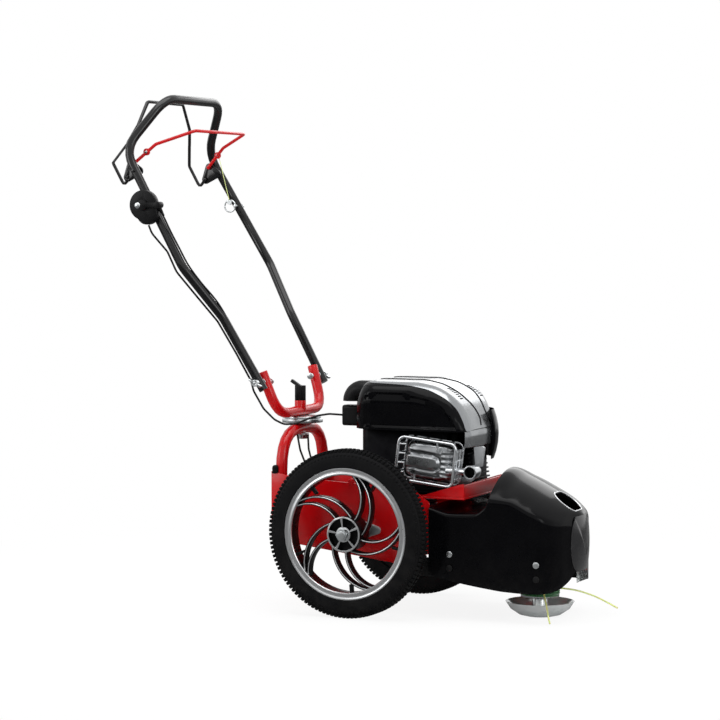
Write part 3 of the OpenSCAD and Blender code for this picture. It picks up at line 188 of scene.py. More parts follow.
# A bare metal finish: brushed streaks or a cast grain, with mottled roughness
def metalFinish(name, colour, shade, rough, grain=700.0, stretch=(900.0, 60.0, 900.0), brush=0.6, cast=0.2,
                bump=0.12, depth=0.0002, metallic=1.0):
    material, tree, shader, place = startMaterial(name, {"Metallic": metallic})
    grained = useGroup(tree, "grain", place, {"Scale": grain, "Mottle": 30.0})
    streak = useGroup(tree, "streak", place, {"Stretch": stretch})["Height"]
    height = mathNode(tree, "ADD", mathNode(tree, "MULTIPLY", streak, brush),
                      mathNode(tree, "MULTIPLY", grained["Height"], cast))
    linkSurface(tree, shader, mixColours(tree, rampNode(tree, grained["Mottle"], 0.3, 0.7), colour, shade),
                rampNode(tree, grained["Mottle"], 0.25, 0.75, *rough), height, bump, depth)
    return material


def clearFinish(name, colour, shade, rough, grain, bump):
    values = {"Transmission Weight": 0.97, "IOR": 1.06, "Metallic": 0.0}
    material, tree, shader, place = startMaterial(name, values)
    grained = useGroup(tree, "grain", place, {"Scale": grain, "Mottle": 30.0})
    linkSurface(tree, shader, mixColours(tree, grained["Mottle"], colour, shade),
                rampNode(tree, grained["Mottle"], 0.2, 0.8, *rough), grained["Height"], bump)
    return material


finishes = {
    "tyre_rubber": coatedFinish(
        "tyreRubber", (0.0025, 0.0025, 0.003), (0.005, 0.005, 0.0055), (0.5, 0.7), 1400.0, dust=0.03,
        dustTop=0.42, wear=0.12, bare=(0.03, 0.03, 0.03), bump=0.25, specular=0.08),
    "wheel_black": coatedFinish(
        "wheelBlack", (0.003, 0.003, 0.0035), (0.006, 0.006, 0.0065), (0.22, 0.36), 800.0, dust=0.04,
        wear=0.1, bump=0.05, specular=0.1),
    "wheel_moulding": metalFinish(
        "wheelSilver", (0.66, 0.67, 0.68), (0.56, 0.57, 0.58), (0.24, 0.4), 1500.0, brush=0.1, cast=0.6,
        bump=0.08),
    "bright_steel": metalFinish(
        "zincSteel", (0.66, 0.68, 0.69), (0.5, 0.53, 0.54), (0.22, 0.42), brush=0.5),
    "red_paint": coatedFinish(
        "redPowderCoat", (0.54, 0.003, 0.005), (0.46, 0.003, 0.005), (0.14, 0.24), 500.0, dust=0.1,
        wear=0.25, bare=(0.16, 0.02, 0.02), bump=0.06, specular=0.3),
    "black_paint": coatedFinish(
        "blackPowderCoat", (0.003, 0.003, 0.0035), (0.006, 0.006, 0.0065), (0.14, 0.24), 900.0, dust=0.03,
        wear=0.25, bare=(0.05, 0.05, 0.05), bump=0.06, specular=0.36),
    "black_plastic": coatedFinish(
        "blackMoulding", (0.004, 0.004, 0.0045), (0.008, 0.008, 0.0085), (0.35, 0.5), 1600.0, dust=0.04,
        wear=0.2, bare=(0.03, 0.03, 0.03), bump=0.2, specular=0.12),
    "lever_plastic": coatedFinish(
        "greyMoulding", (0.3, 0.31, 0.32), (0.24, 0.25, 0.26), (0.35, 0.5), 1500.0, bump=0.12),
    "gloss_black": coatedFinish(
        "glossBlackMoulding", (0.0015, 0.0015, 0.002), (0.0025, 0.0025, 0.003), (0.08, 0.16), 260.0,
        dust=0.02, dustTop=0.2, wear=0.03, bump=0.015, specular=0.08),
    "nose_grey": coatedFinish(
        "noseGloss", (0.012, 0.012, 0.013), (0.018, 0.018, 0.019), (0.12, 0.2), 300.0, dust=0.02,
        dustTop=0.2, wear=0.1, bare=(0.2, 0.2, 0.2), bump=0.02),
    "silver_cover": coatedFinish(
        "silverCoverPaint", (0.32, 0.33, 0.34), (0.26, 0.27, 0.28), (0.16, 0.26), 2200.0, bump=0.05,
        metallic=0.9),
    "cast_alloy": metalFinish(
        "darkCasting", (0.01, 0.01, 0.011), (0.006, 0.006, 0.007), (0.4, 0.6), 500.0, brush=0.05, cast=1.0,
        bump=0.35, depth=0.0004),
    "machined_steel": metalFinish(
        "turnedSteel", (0.42, 0.43, 0.44), (0.34, 0.35, 0.36), (0.25, 0.4), stretch=(60.0, 60.0, 1600.0),
        brush=0.8),
    "guard_metal": metalFinish(
        "pressedGuard", (0.72, 0.74, 0.76), (0.58, 0.6, 0.62), (0.2, 0.36), 900.0, brush=0.3, cast=0.3,
        bump=0.1),
    "muffler_shell": metalFinish(
        "mufflerShell", (0.36, 0.37, 0.38), (0.24, 0.25, 0.26), (0.22, 0.4), 600.0, brush=0.5, cast=0.4,
        bump=0.2),
    "dish_steel": metalFinish(
        "polishedDish", (0.8, 0.83, 0.83), (0.7, 0.74, 0.74), (0.1, 0.24), stretch=(400.0, 400.0, 400.0),
        brush=0.3, bump=0.06, metallic=0.5),
    "belt_rubber": coatedFinish(
        "beltRubber", (0.016, 0.016, 0.016), (0.03, 0.03, 0.03), (0.6, 0.8), 1800.0, bump=0.4),
    "head_plastic": coatedFinish(
        "greenHeadMoulding", (0.03, 0.16, 0.05), (0.02, 0.11, 0.035), (0.3, 0.5), 1200.0, bump=0.12),
    "nylon_line": coatedFinish(
        "nylonLine", (0.74, 0.78, 0.3), (0.64, 0.7, 0.24), (0.22, 0.35), 900.0, dust=0.05, bump=0.05,
        subsurface=0.2),
    "cable_jacket": coatedFinish(
        "cableJacket", (0.004, 0.004, 0.0045), (0.008, 0.008, 0.0085), (0.35, 0.5), 1500.0, specular=0.12),
    "clear_flap": clearFinish(
        "clearFlap", (0.92, 0.95, 0.94), (0.8, 0.85, 0.84), (0.12, 0.35), 60.0, 0.05),
}
print("finishes:", len(finishes))


# Mesh helpers
def wrapMesh(name, mesh, *slots):
    piece = bpy.data.objects.new(name, mesh)
    bpy.context.scene.collection.objects.link(piece)
    for slot in slots:
        mesh.materials.append(finishes[slot])
    return piece


def meshObject(name, verts, faces, *slots):
    mesh = bpy.data.meshes.new(name)
    mesh.from_pydata([tuple(vert) for vert in verts], [], faces)
    mesh.update()
    return wrapMesh(name, mesh, *slots)


def applyModifiers(piece):
    mesh = bpy.data.meshes.new_from_object(piece.evaluated_get(bpy.context.evaluated_depsgraph_get()))
    piece.modifiers.clear()
    piece.data = mesh


def thicken(piece, wall):
    shell = piece.modifiers.new("wall", "SOLIDIFY")
    shell.thickness = wall * mm
    shell.offset = -1


def editMesh(mesh, change):
    work = bmesh.new()
    work.from_mesh(mesh)
    change(work)
    work.to_mesh(mesh)
    work.free()
    mesh.update()


def turnOutward(work):
    bmesh.ops.remove_doubles(work, verts=work.verts, dist=2e-6)
    bmesh.ops.recalc_face_normals(work, faces=work.faces)


def joinPieces(name, *parts):
    materials = []
    work = bmesh.new()
    for part in parts:
        mesh = part.data.copy()
        slots = []
        for material in mesh.materials:
            if material not in materials:
                materials.append(material)
            slots.append(materials.index(material))
        for polygon in mesh.polygons:
            polygon.material_index = slots[polygon.material_index]
        work.from_mesh(mesh)
        bpy.data.meshes.remove(mesh)
    joined = bpy.data.meshes.new(name)
    work.to_mesh(joined)
    work.free()
    for part in parts:
        bpy.data.objects.remove(part)
    piece = wrapMesh(name, joined)
    for material in materials:
        joined.materials.append(material)
    return piece


def smoothByAngle(piece, degrees):
    mesh = piece.data
    mesh.polygons.foreach_set("use_smooth", [True] * len(mesh.polygons))
    mesh.set_sharp_from_angle(angle=math.radians(degrees))
    mesh.update()


# Smooths a finished mesh, then gives it its body and the nodes that it stands for
def settle(piece, angle, body, slotName, *nodes):
    if angle:
        smoothByAngle(piece, angle)
    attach(piece, body)
    if nodes:
        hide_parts(*nodes)
        dressed.update(nodes)
    return piece


def moved(piece, spot, turn=Matrix()):
    piece.data.transform(Matrix.Translation(Vector(spot) * mm) @ turn)
    return piece


def straightLine(start, end, count):
    return [Vector(start).lerp(Vector(end), step / count) for step in range(count + 1)]


def onCircle(radius, degrees):
    return radius * math.cos(math.radians(degrees)), radius * math.sin(math.radians(degrees))


# A grid of rings, each a list of points in millimetres, with its two ends capped
def loftRings(name, rings, *slots, closed=True, caps=True):
    count = len(rings[0])
    faces = []
    for row in range(0, (len(rings) - 1) * count, count):
        for column in range(count if closed else count - 1):
            after = (column + 1) % count
            faces.append((row + column, row + after, row + count + after, row + count + column))
    if caps:
        faces += [tuple(range(count)), tuple(range((len(rings) - 1) * count, len(rings) * count))]
    verts = [[part * mm for part in point] for ring in rings for point in ring]
    piece = meshObject(name, verts, faces, *slots)
    editMesh(piece.data, turnOutward)
    return piece


# A profile of (radius, along) turned round an axis through a centre, in millimetres
def turned(name, profile, centre, axis, slot, steps=48, caps=True):
    along = Vector(axis).normalized()
    side = along.orthogonal().normalized()
    other = along.cross(side)
    rings = []
    for radius, height in profile:
        places = [onCircle(radius, 360 * step / steps) for step in range(steps)]
        rings.append([Vector(centre) + along * height + side * u + other * v for u, v in places])
    return loftRings(name, rings, slot, caps=caps)


# A round bar along points in millimetres, turned with the path
def sweptBar(name, points, radius, slot, sides=14):
    points = [Vector(point) for point in points]
    places = [onCircle(radius, 360 * step / sides) for step in range(sides)]
    side = (points[1] - points[0]).orthogonal().normalized()
    rings = []
    for index, point in enumerate(points):
        ahead = (points[min(index + 1, len(points) - 1)] - points[max(index - 1, 0)]).normalized()
        side = (side - ahead * side.dot(ahead)).normalized()
        other = ahead.cross(side)
        rings.append([point + side * u + other * v for u, v in places])
    return loftRings(name, rings, slot)


# One smooth line through a route's points
def smoothRoute(points, perSpan):
    points = [Vector(point) for point in points]
    ends = [points[0] * 2 - points[1]] + points + [points[-1] * 2 - points[-2]]
    line = []
    for index in range(1, len(ends) - 2):
        before, start, end, after = ends[index - 1:index + 3]
        for step in range(perSpan):
            t = step / perSpan
            line.append(0.5 * (2 * start + (end - before) * t
                               + (2 * before - 5 * start + 4 * end - after) * t * t
                               + (3 * start - before - 3 * end + after) * t ** 3))
    return line + [points[-1]]


# Smooth interpolation of a table that never overshoots its points
def easeTable(table, at, column=1):
    if at <= table[0][0]:
        return table[0][column]
    if at >= table[-1][0]:
        return table[-1][column]
    index = max(row for row in range(len(table) - 1) if table[row][0] <= at)

    def slope(row):
        return (table[row + 1][column] - table[row][column]) / (table[row + 1][0] - table[row][0])

    def tangent(row):
        if row in (0, len(table) - 1):
            return slope(max(row - 1, 0))
        before, after = slope(row - 1), slope(row)
        return 0.0 if before * after <= 0 else 2 * before * after / (before + after)

    span = table[index + 1][0] - table[index][0]
    t = (at - table[index][0]) / span
    return ((2 * t ** 3 - 3 * t * t + 1) * table[index][column]
            + (3 * t * t - 2 * t ** 3) * table[index + 1][column]
            + (t ** 3 - 2 * t * t + t) * span * tangent(index) + (t ** 3 - t * t) * span * tangent(index + 1))


def smoothStep(low, high, value):
    t = min(max((value - low) / (high - low), 0.0), 1.0)
    return t * t * (3 - 2 * t)


# Geometry Nodes: each row is a node's key, type, settings and inputs, where "key.Socket" is a link
treePlans = {
    "ring": ("blocksOnRing", {
        "Block": "Object", "Count": "Int", "Radius": "Float", "Offset": "Float", "Phase": "Float"}, [
        ("circle", "GeometryNodeMeshCircle", {}, {"Vertices": "given.Count", "Radius": "given.Radius"}),
        ("block", "GeometryNodeObjectInfo", {}, {"Object": "given.Block"}),
        ("spot", "GeometryNodeInputPosition", {}, {}),
        ("turn", "FunctionNodeAlignRotationToVector", {"axis": "X", "pivot_axis": "Z"},
         {"Vector": "spot.Position"}),
        ("copies", "GeometryNodeInstanceOnPoints", {},
         {"Points": "circle.Mesh", "Instance": "block.Geometry", "Rotation": "turn.Rotation"}),
        ("shift", "ShaderNodeCombineXYZ", {}, {"Z": "given.Offset"}),
        ("spin", "ShaderNodeCombineXYZ", {}, {"Z": "given.Phase"}),
        ("move", "GeometryNodeTransform", {},
         {"Geometry": "copies.Instances", "Translation": "shift.Vector", "Rotation": "spin.Vector"})],
        "move.Geometry"),
    "row": ("blocksInRow", {
        "Block": "Object", "Count": "Int", "Start": "Vector", "Step": "Vector", "Turn": "Rotation"}, [
        ("line", "GeometryNodeMeshLine", {"mode": "OFFSET"},
         {"Count": "given.Count", "Start Location": "given.Start", "Offset": "given.Step"}),
        ("block", "GeometryNodeObjectInfo", {}, {"Object": "given.Block"}),
        ("copies", "GeometryNodeInstanceOnPoints", {},
         {"Points": "line.Mesh", "Instance": "block.Geometry", "Rotation": "given.Turn"})],
        "copies.Instances"),
    "winding": ("woundLine", {"Turns": "Float", "Radius": "Float", "Height": "Float", "Thickness": "Float"}, [
        ("spiral", "GeometryNodeCurveSpiral", {},
         {"Resolution": 48, "Rotations": "given.Turns", "Start Radius": "given.Radius",
          "End Radius": "given.Radius", "Height": "given.Height"}),
        ("section", "GeometryNodeCurvePrimitiveCircle", {}, {"Resolution": 10, "Radius": "given.Thickness"}),
        ("skin", "GeometryNodeCurveToMesh", {},
         {"Fill Caps": True, "Curve": "spiral.Curve", "Profile Curve": "section.Curve"})], "skin.Mesh")}


def buildTree(name, inputs, rows, last):
    tree = bpy.data.node_groups.new(name, "GeometryNodeTree")
    for label, kind in {**inputs, "Material": "Material"}.items():
        tree.interface.new_socket(label, in_out="INPUT", socket_type="NodeSocket" + kind)
    tree.interface.new_socket("Geometry", in_out="OUTPUT", socket_type="NodeSocketGeometry")
    made = {"given": tree.nodes.new("NodeGroupInput")}
    ending = [("real", "GeometryNodeRealizeInstances", {}, {"Geometry": last}),
              ("paint", "GeometryNodeSetMaterial", {},
               {"Geometry": "real.Geometry", "Material": "given.Material"}),
              ("result", "NodeGroupOutput", {}, {"Geometry": "paint.Geometry"})]
    for key, kind, settings, sources in rows + ending:
        linked = {}
        for label, source in sources.items():
            if isinstance(source, str):
                other, socket = source.split(".")
                source = made[other].outputs[socket]
            linked[label] = source
        made[key] = addNode(tree, kind, settings, linked)
    return tree


trees = {key: buildTree(*plan) for key, plan in treePlans.items()}


def runTree(key, name, slot, values):
    piece = wrapMesh(name, bpy.data.meshes.new(name))
    build = piece.modifiers.new("build", "NODES")
    build.node_group = trees[key]
    values = {**values, "Material": finishes[slot]}
    for item in trees[key].interface.items_tree:
        if item.in_out == "INPUT":
            build[item.identifier] = values[item.name]
    applyModifiers(piece)
    return piece


# A block with softened edges and a smaller top, built along X, sizes in millimetres
def taperedBlock(name, length, width, depth, taper, soften, *slots):
    verts = []
    for x, share in ((0.0, 1.0), (length, taper)):
        verts += [(x * mm, y * width / 2 * share * mm, z * depth / 2 * share * mm)
                  for y, z in ((-1, -1), (1, -1), (1, 1), (-1, 1))]
    faces = [(3, 2, 1, 0), (4, 5, 6, 7), (0, 1, 5, 4), (1, 2, 6, 5), (2, 3, 7, 6), (3, 0, 4, 7)]
    piece = meshObject(name, verts, faces, *slots)
    edge = piece.modifiers.new("edge", "BEVEL")
    edge.width = soften * mm
    edge.segments = 2
    applyModifiers(piece)
    editMesh(piece.data, turnOutward)
    return piece


# The two free trimmer lines: routes as in the part's source, in millimetres
cordSizes = {
    "diameter": 4, "perSpan": 5,
    "frontLineCord": ("front_line", [
        (434, 19, 64), (452, 29, 63), (480, 46, 57), (512, 66, 44), (540, 82, 28), (562, 94, 14)]),
    "sideLineCord": ("side_line", [
        (418.5, -34, 64), (428, -52, 62), (442, -82, 52), (458, -112, 34), (470, -134, 16), (478, -148, 6)])}


def lineCord(name):
    node, route = cordSizes[name]
    path = [point * mm for point in smoothRoute(route, cordSizes["perSpan"])]
    line = bpy.data.curves.new(name, "CURVE")
    line.dimensions = "3D"
    line.bevel_depth = cordSizes["diameter"] / 2 * mm
    line.bevel_resolution = 4
    line.use_fill_caps = True
    spline = line.splines.new("POLY")
    spline.points.add(len(path) - 1)
    for spot, point in zip(spline.points, path):
        spot.co = (*point, 1.0)
    spline.use_smooth = True
    piece = settle(wrapMesh(name, line, "nylon_line"), None, "trimmer_head", "nylon_line", node)
    length = sum((after - before).length for before, after in zip(path, path[1:]))
    return round(length, 3)


print("cords:", [lineCord(name) for name in ("frontLineCord", "sideLineCord")])


# A node's own shape with merged triangles, softened edges and smooth curves
def dressedMesh(node, bevel, finish=None):
    work = bmesh.new()
    work.from_mesh(frame["nodes"][node].data)
    bmesh.ops.remove_doubles(work, verts=work.verts, dist=1e-6)
    bmesh.ops.dissolve_limit(work, angle_limit=math.radians(0.6), verts=work.verts, edges=work.edges)
    mesh = bpy.data.meshes.new(node + "Dressed")
    work.to_mesh(mesh)
    work.free()
    piece = wrapMesh(node + "Dressed", mesh, finish or slotOf[node])
    if bevel:
        soften = piece.modifiers.new("soften", "BEVEL")
        soften.width = bevel * mm
        soften.segments = 2
        soften.limit_method = "ANGLE"
        soften.angle_limit = math.radians(40)
        applyModifiers(piece)
    return piece


def dressNode(node, bevel=0.6, finish=None, angle=35):
    return settle(dressedMesh(node, bevel, finish), angle, bodyOf[node], slotOf[node], node)


# Wheels: a turned tyre with rings of tread blocks, and a two-colour moulded wheel
wheelSizes = {
    "radius": 200, "track": 440, "tyreWidth": 47, "rim": 157, "swell": 0.55, "tread": 2.0, "count": 118,
    "ribs": ((167, 1.4), (181, 1.2)), "ribHeight": 0.7,  # raised sidewall rings: radius, half width
    "block": (7, 7.6, 12.2, 0.9, 0.8), "blockAt": (9.9, 192.8),  # sizes, then offset and radius of the rows
    "nub": (5, 5.4, 6.0, 0.75, 0.8), "nubAt": (19.0, 183.2),
    "bead": [(138.6, 16), (138.8, 19.6), (140.2, 21.4), (142.2, 21.8), (144.4, 20.6), (147.8, 19.9),
             (151.2, 20.6), (153.4, 21.8), (155.4, 21.4), (156.7, 19.6), (156.9, 16)],  # channelled rim
    "hubEdge": 44, "hubFront": 23.5, "rimFront": 16.5, "spokeFrom": 40, "spokeTo": 141, "spokeCount": 5,
    "spokeTurn": 26, "spokeFront": 14.7, "spokeLine": 1.4, "spokes": [(29, 57, 0.18), (-29, 52, 0.2)]}


def wheelCentre(sign):
    return Vector((0, sign * wheelSizes["track"] / 2, wheelSizes["radius"]))


def tyrePiece(side, sign):
    size = wheelSizes
    half = size["tyreWidth"] / 2
    rise = size["radius"] - size["tread"] - size["rim"]
    profile = []
    for degrees in range(90, -91, -3):
        radius = size["rim"] + rise * max(math.cos(math.radians(degrees)), 0.0) ** size["swell"]
        along = half * math.sin(math.radians(degrees))
        rib = sum(max(0, 1 - abs(radius - at) / reach) for at, reach in size["ribs"])
        profile.append((radius, along + math.copysign(size["ribHeight"] * min(rib, 1), along)))
    profile += [(size["rim"] + 0.2, -half * 0.8), (size["rim"] + 0.2, half * 0.8), profile[0]]
    parts = [turned("tyreSkin", profile, wheelCentre(sign), (0, 1, 0), "tyre_rubber", 144, False)]
    for shape, phases in (("block", (0, 0.5)), ("nub", (0.5, 0))):
        block = taperedBlock(shape, *size[shape])
        offset, radius = size[shape + "At"]
        for out, phase in zip((offset, -offset), phases):
            row = runTree("ring", "treadRow", "tyre_rubber", {
                "Block": block, "Count": size["count"], "Radius": radius * mm, "Offset": out * mm,
                "Phase": phase * 2 * math.pi / size["count"]})
            parts.append(moved(row, wheelCentre(sign), Matrix.Rotation(math.pi / 2, 4, "X")))
        bpy.data.objects.remove(block)
    tyre = joinPieces(side + "TyreTread", *parts)
    return settle(tyre, 32, side + "_wheel_set", "tyre_rubber", side + "_tyre")


# Thin silver lines along the spokes: one twin pair, repeated round the hub
def spokeLines(sign):
    size = wheelSizes
    pair = []
    for start, end, sagShare in size["spokes"]:
        first, last = Vector(onCircle(size["spokeFrom"], start)), Vector(onCircle(size["spokeTo"], end))
        chord = last - first
        sag = chord.length * sagShare
        bow = ((chord.length / 2) ** 2 + sag ** 2) / (2 * sag)
        middle = (first + last) / 2 + Vector((-chord.y, chord.x)).normalized() * (bow - sag)
        begin = math.atan2(first.y - middle.y, first.x - middle.x)
        sweep = 2 * math.asin(chord.length / 2 / bow)
        line = []
        for step in range(25):
            x, y = onCircle(bow, math.degrees(begin + sweep * step / 24))
            line.append((middle.x + x - size["spokeFrom"], middle.y + y, 0))
        pair.append(sweptBar("spokeLine", line, size["spokeLine"], "wheel_moulding", 10))
    block = joinPieces("spokePair", *pair)
    lines = runTree("ring", "spokeLines", "wheel_moulding", {
        "Block": block, "Count": size["spokeCount"], "Radius": size["spokeFrom"] * mm,
        "Offset": size["spokeFront"] * mm, "Phase": math.radians(size["spokeTurn"])})
    bpy.data.objects.remove(block)
    turn = Matrix.Rotation(math.pi if sign > 0 else 0, 4, "Z") @ Matrix.Rotation(math.pi / 2, 4, "X")
    return moved(lines, wheelCentre(sign), turn)


# Front faces of the rim and hub are silver, the spokes are black with silver lines
def wheelPiece(side, sign):
    size = wheelSizes
    centre = wheelCentre(sign)
    wheel = dressedMesh(side + "_wheel", 1.0)
    wheel.data.materials.append(finishes["wheel_black"])
    for polygon in wheel.data.polygons:
        spot = polygon.center / mm - centre
        front = size["hubFront"] if math.hypot(spot.x, spot.z) < size["hubEdge"] else size["rimFront"]
        polygon.material_index = 0 if polygon.normal.y * sign > 0.8 and spot.y * sign > front else 1
    bead = size["bead"] + size["bead"][:1]
    ring = turned("rimFace", bead, centre, (0, sign, 0), "wheel_moulding", 144, False)
    wheel = joinPieces(side + "WheelDressed", wheel, ring, spokeLines(sign))
    return settle(wheel, 35, side + "_wheel_set", "wheel_moulding", side + "_wheel")


for side, sign in (("right", -1), ("left", 1)):
    tyrePiece(side, sign)
    wheelPiece(side, sign)
    dressNode(side + "_half_shaft", 0.4)
    dressNode(side + "_axle_nut", 0.8, angle=40)
print("wheels: tyres with tread rings, two-colour wheels")

# Hood: one lofted shell through the same stations as the part's source
hoodSizes = {
    "rear": 178, "length": 325, "half": 156, "top": 350, "wall": 4, "crease": 9, "lip": 1.7,
    "opening": (469, 27, 14), "cut": (150, 420),
    "grid": ((0, 1, 60), (0.435, 0.025, 8), (0.9, 0.1, 24)),  # start, span, count: finer at the step and nose
    "nose": ((0.97, 1.6), (0.9, 2.6), (0.6, 3.4), (0.25, 3.8)),  # a slightly bowed nose
    "stations": [[0, 1, .3, .75, .765], [.17, 1, .263, .714, .726], [.345, 1, .237, .72, .735],
                 [.435, 1, .226, .775, .81], [.46, 1, .223, .82, 1], [.585, 1, .211, .817, .951],
                 [.76, 1, .206, .749, .871], [.843, .955, .206, .711, .829], [.905, .833, .211, .683, .789],
                 [.948, .647, .231, .663, .76], [.978, .43, .271, .651, .734], [1, .27, .326, .643, .711]]}


def hoodStation(along):
    half, low, crease, top = (easeTable(hoodSizes["stations"], along, column) for column in (1, 2, 3, 4))
    return half * hoodSizes["half"], low * hoodSizes["top"], crease * hoodSizes["top"], top * hoodSizes["top"]


def crownAt(y, half, crease, top):
    return crease + (top - crease) * (1 - (y / half) ** 2)


def hoodSection(x, half, low, crease, top, count=36):
    reach = min(hoodSizes["crease"], half * 0.2)
    inner = half - reach
    points = [(half, low + (crease - reach - low) * step / 10) for step in range(11)]
    start, corner = Vector(points[-1]), Vector((half, crease))
    end = Vector((inner, crownAt(inner, half, crease, top)))
    for t in (0.2, 0.4, 0.6, 0.8):  # a rounded crease
        points.append(tuple(start * (1 - t) ** 2 + corner * 2 * t * (1 - t) + end * t * t))
    wall = [(-y, z) for y, z in reversed(points)]
    across = [inner - 2 * inner * step / count for step in range(count + 1)]
    points += [(y, crownAt(y, half, crease, top)) for y in across]
    return [(x, y, z) for y, z in points + wall]


def hoodPiece():
    size = hoodSizes
    steps = sorted({start + span * step / count
                    for start, span, count in size["grid"] for step in range(count + 1)})
    rings = [hoodSection(size["rear"] + size["length"] * along, *hoodStation(along)) for along in steps]
    half, low, crease, top = hoodStation(1.0)
    middle = (low + crease) / 2
    for grow, out in size["nose"]:
        heights = [middle + (height - middle) * grow for height in (low, crease, top)]
        rings.append(hoodSection(size["rear"] + size["length"] + out, half * grow, *heights))
    skin = loftRings("hoodShell", rings, "gloss_black", closed=False, caps=False)
    tip = rings[-1][0][0] * mm - 1e-5

    def closeNose(work):
        work.faces.new([vert for vert in work.verts if vert.co.x > tip])
        bmesh.ops.recalc_face_normals(work, faces=work.faces)
        if max(work.faces, key=lambda face: face.calc_center_median().z).normal.z < 0:
            bmesh.ops.reverse_faces(work, faces=work.faces)

    editMesh(skin.data, closeNose)
    thicken(skin, size["wall"])
    x, radius, straight = size["opening"]
    outline = []
    for step in range(64):
        along, across = onCircle(radius, 360 * step / 64)
        outline.append((x + along, across + math.copysign(straight, across)))
    cutter = loftRings("openingCutter", [[(px, py, z) for px, py in outline] for z in size["cut"]])
    hole = skin.modifiers.new("opening", "BOOLEAN")
    hole.operation = "DIFFERENCE"
    hole.object = cutter
    applyModifiers(skin)
    bpy.data.objects.remove(cutter)
    lip = []
    for px, py in outline:
        half, low, crease, top = hoodStation((px - size["rear"]) / size["length"])
        lip.append((px, py, crownAt(py, half, crease, top) - 0.6))
    rim = sweptBar("openingLip", lip + lip[:2], size["lip"], "wheel_moulding", 10)
    return settle(joinPieces("hoodDressed", skin, rim), 32, "chassis", "gloss_black", "hood")


# The nose panel: a raised lens on the hood's front with a shallow V pressed into it
noseSizes = {"low": 114, "high": 244, "half": 62, "raise": 1.4, "bulge": 8, "press": 2.2, "wall": 1.6,
             "bow": 3.4, "bowHalf": 42, "foot": 150, "slant": 1.9}


def noseFront(y):
    low, high = 0.76, 1.0
    for step in range(40):  # halves the span until the hood is as wide as y
        middle = (low + high) / 2
        low, high = (middle, high) if hoodStation(middle)[0] > abs(y) else (low, middle)
    bow = noseSizes["bow"] * max(1 - (y / noseSizes["bowHalf"]) ** 2, 0.0)
    return hoodSizes["rear"] + hoodSizes["length"] * low + bow


def nosePiece():
    size = noseSizes
    rings = []
    for row in range(49):
        up = row / 48
        z = size["low"] + (size["high"] - size["low"]) * up
        arch = math.sin(math.pi * up) if 0 < row < 48 else 0.0
        half = size["half"] * (0.8 + 0.2 * arch) * (1 - 0.25 * abs(2 * up - 1) ** 8)
        ring = []
        for column in range(41):
            y = half * (2 * column / 40 - 1)
            pressed = size["press"] * smoothStep(0, 5, z - size["foot"] - abs(y) * size["slant"])
            bulge = size["bulge"] * arch ** 0.7 * (1 - (y / half) ** 2)
            ring.append((noseFront(y) + size["raise"] + bulge - pressed, y, z))
        rings.append(ring)
    panel = loftRings("nosePanel", rings, "nose_grey", closed=False, caps=False)
    if sum(polygon.normal.x for polygon in panel.data.polygons) < 0:
        panel.data.flip_normals()
    thicken(panel, size["wall"])
    applyModifiers(panel)
    return settle(panel, 30, "chassis", "gloss_black")


hoodPiece()
nosePiece()
print("hood: lofted shell with its opening and nose panel")

# Engine shroud and cover: a loft over the same outline shares as the part's source
engineSizes = {
    "rear": -35, "length": 300, "half": 140, "base": 440, "height": 114, "round": 50,
    "rearCorner": 60, "nearCorner": 36, "farCorner": 120, "recessDepth": 7,
    "top": [[0, .7], [.03, .86], [.1, .97], [.2, 1], [.5, 1], [.66, .94], [.8, .78], [.9, .54], [.96, .28],
            [1, .02]],
    "cover": [[.13, .955], [.43, .93], [.63, .86], [.79, .69], [.89, .48], [.955, .2], [.985, .0]],
    "recess": [[.13, .06], [.13, .7], [.24, .76], [.43, .76], [.63, .67], [.78, .5], [.87, .3], [.91, .06]]}


# How much a round corner takes off a side at a distance from its end
def cornerPull(corner, distance):
    if distance >= corner:
        return 0.0
    return corner - math.sqrt(max(corner ** 2 - (corner - distance) ** 2, 0))


def shroudSide(x, far):
    size = engineSizes
    back = x - size["rear"]
    pull = max(cornerPull(size["rearCorner"], back),
               cornerPull(size["farCorner" if far else "nearCorner"], size["length"] - back))
    return (size["half"] - pull) * (1 if far else -1)


def shroudTop(x):
    size = engineSizes
    return size["base"] + size["height"] * easeTable(size["top"], (x - size["rear"]) / size["length"])


def shroudEdge(x, z, far, inset):
    top = shroudTop(x) - inset
    tall = min(engineSizes["round"], (top - engineSizes["base"]) * 0.9)
    side = shroudSide(x, far)
    wide = min(engineSizes["round"], abs(side) * 0.8)
    rise = min(max((z - top + tall) / tall, 0.0), 1.0)
    return side - math.copysign(wide * (1 - math.sqrt(max(1 - rise * rise, 0))) + inset, side)


# One cross section: near side, top and far side above a low edge, grown outwards for a skin over it
def shroudRow(x, low, inset=0.0, grow=0.0, steps=(26, 12, 20)):
    top = shroudTop(x) - inset
    low = min(low, top - 0.05)
    tall = min(engineSizes["round"], (top - engineSizes["base"]) * 0.9)
    start = max(low, top - tall)
    first = math.asin(min(max((start - top + tall) / tall, 0), 1))
    heights = [low + (start - low) * step / steps[0] for step in range(steps[0])]
    heights += [top - tall + tall * math.sin(first + (math.pi / 2 - first) * step / steps[1])
                for step in range(steps[1] + 1)]
    near, far = ([(shroudEdge(x, z, isFar, inset), z) for z in heights] for isFar in (False, True))
    left, right = near[-1][0], far[-1][0]
    flat = [(left + (right - left) * step / steps[2], top) for step in range(1, steps[2])]
    row = []
    for y, z in near + flat + far[::-1]:
        out = y - grow if y < left else y + grow if y > right else y
        row.append((x, out, z + (grow if z >= start else 0)))
    return row


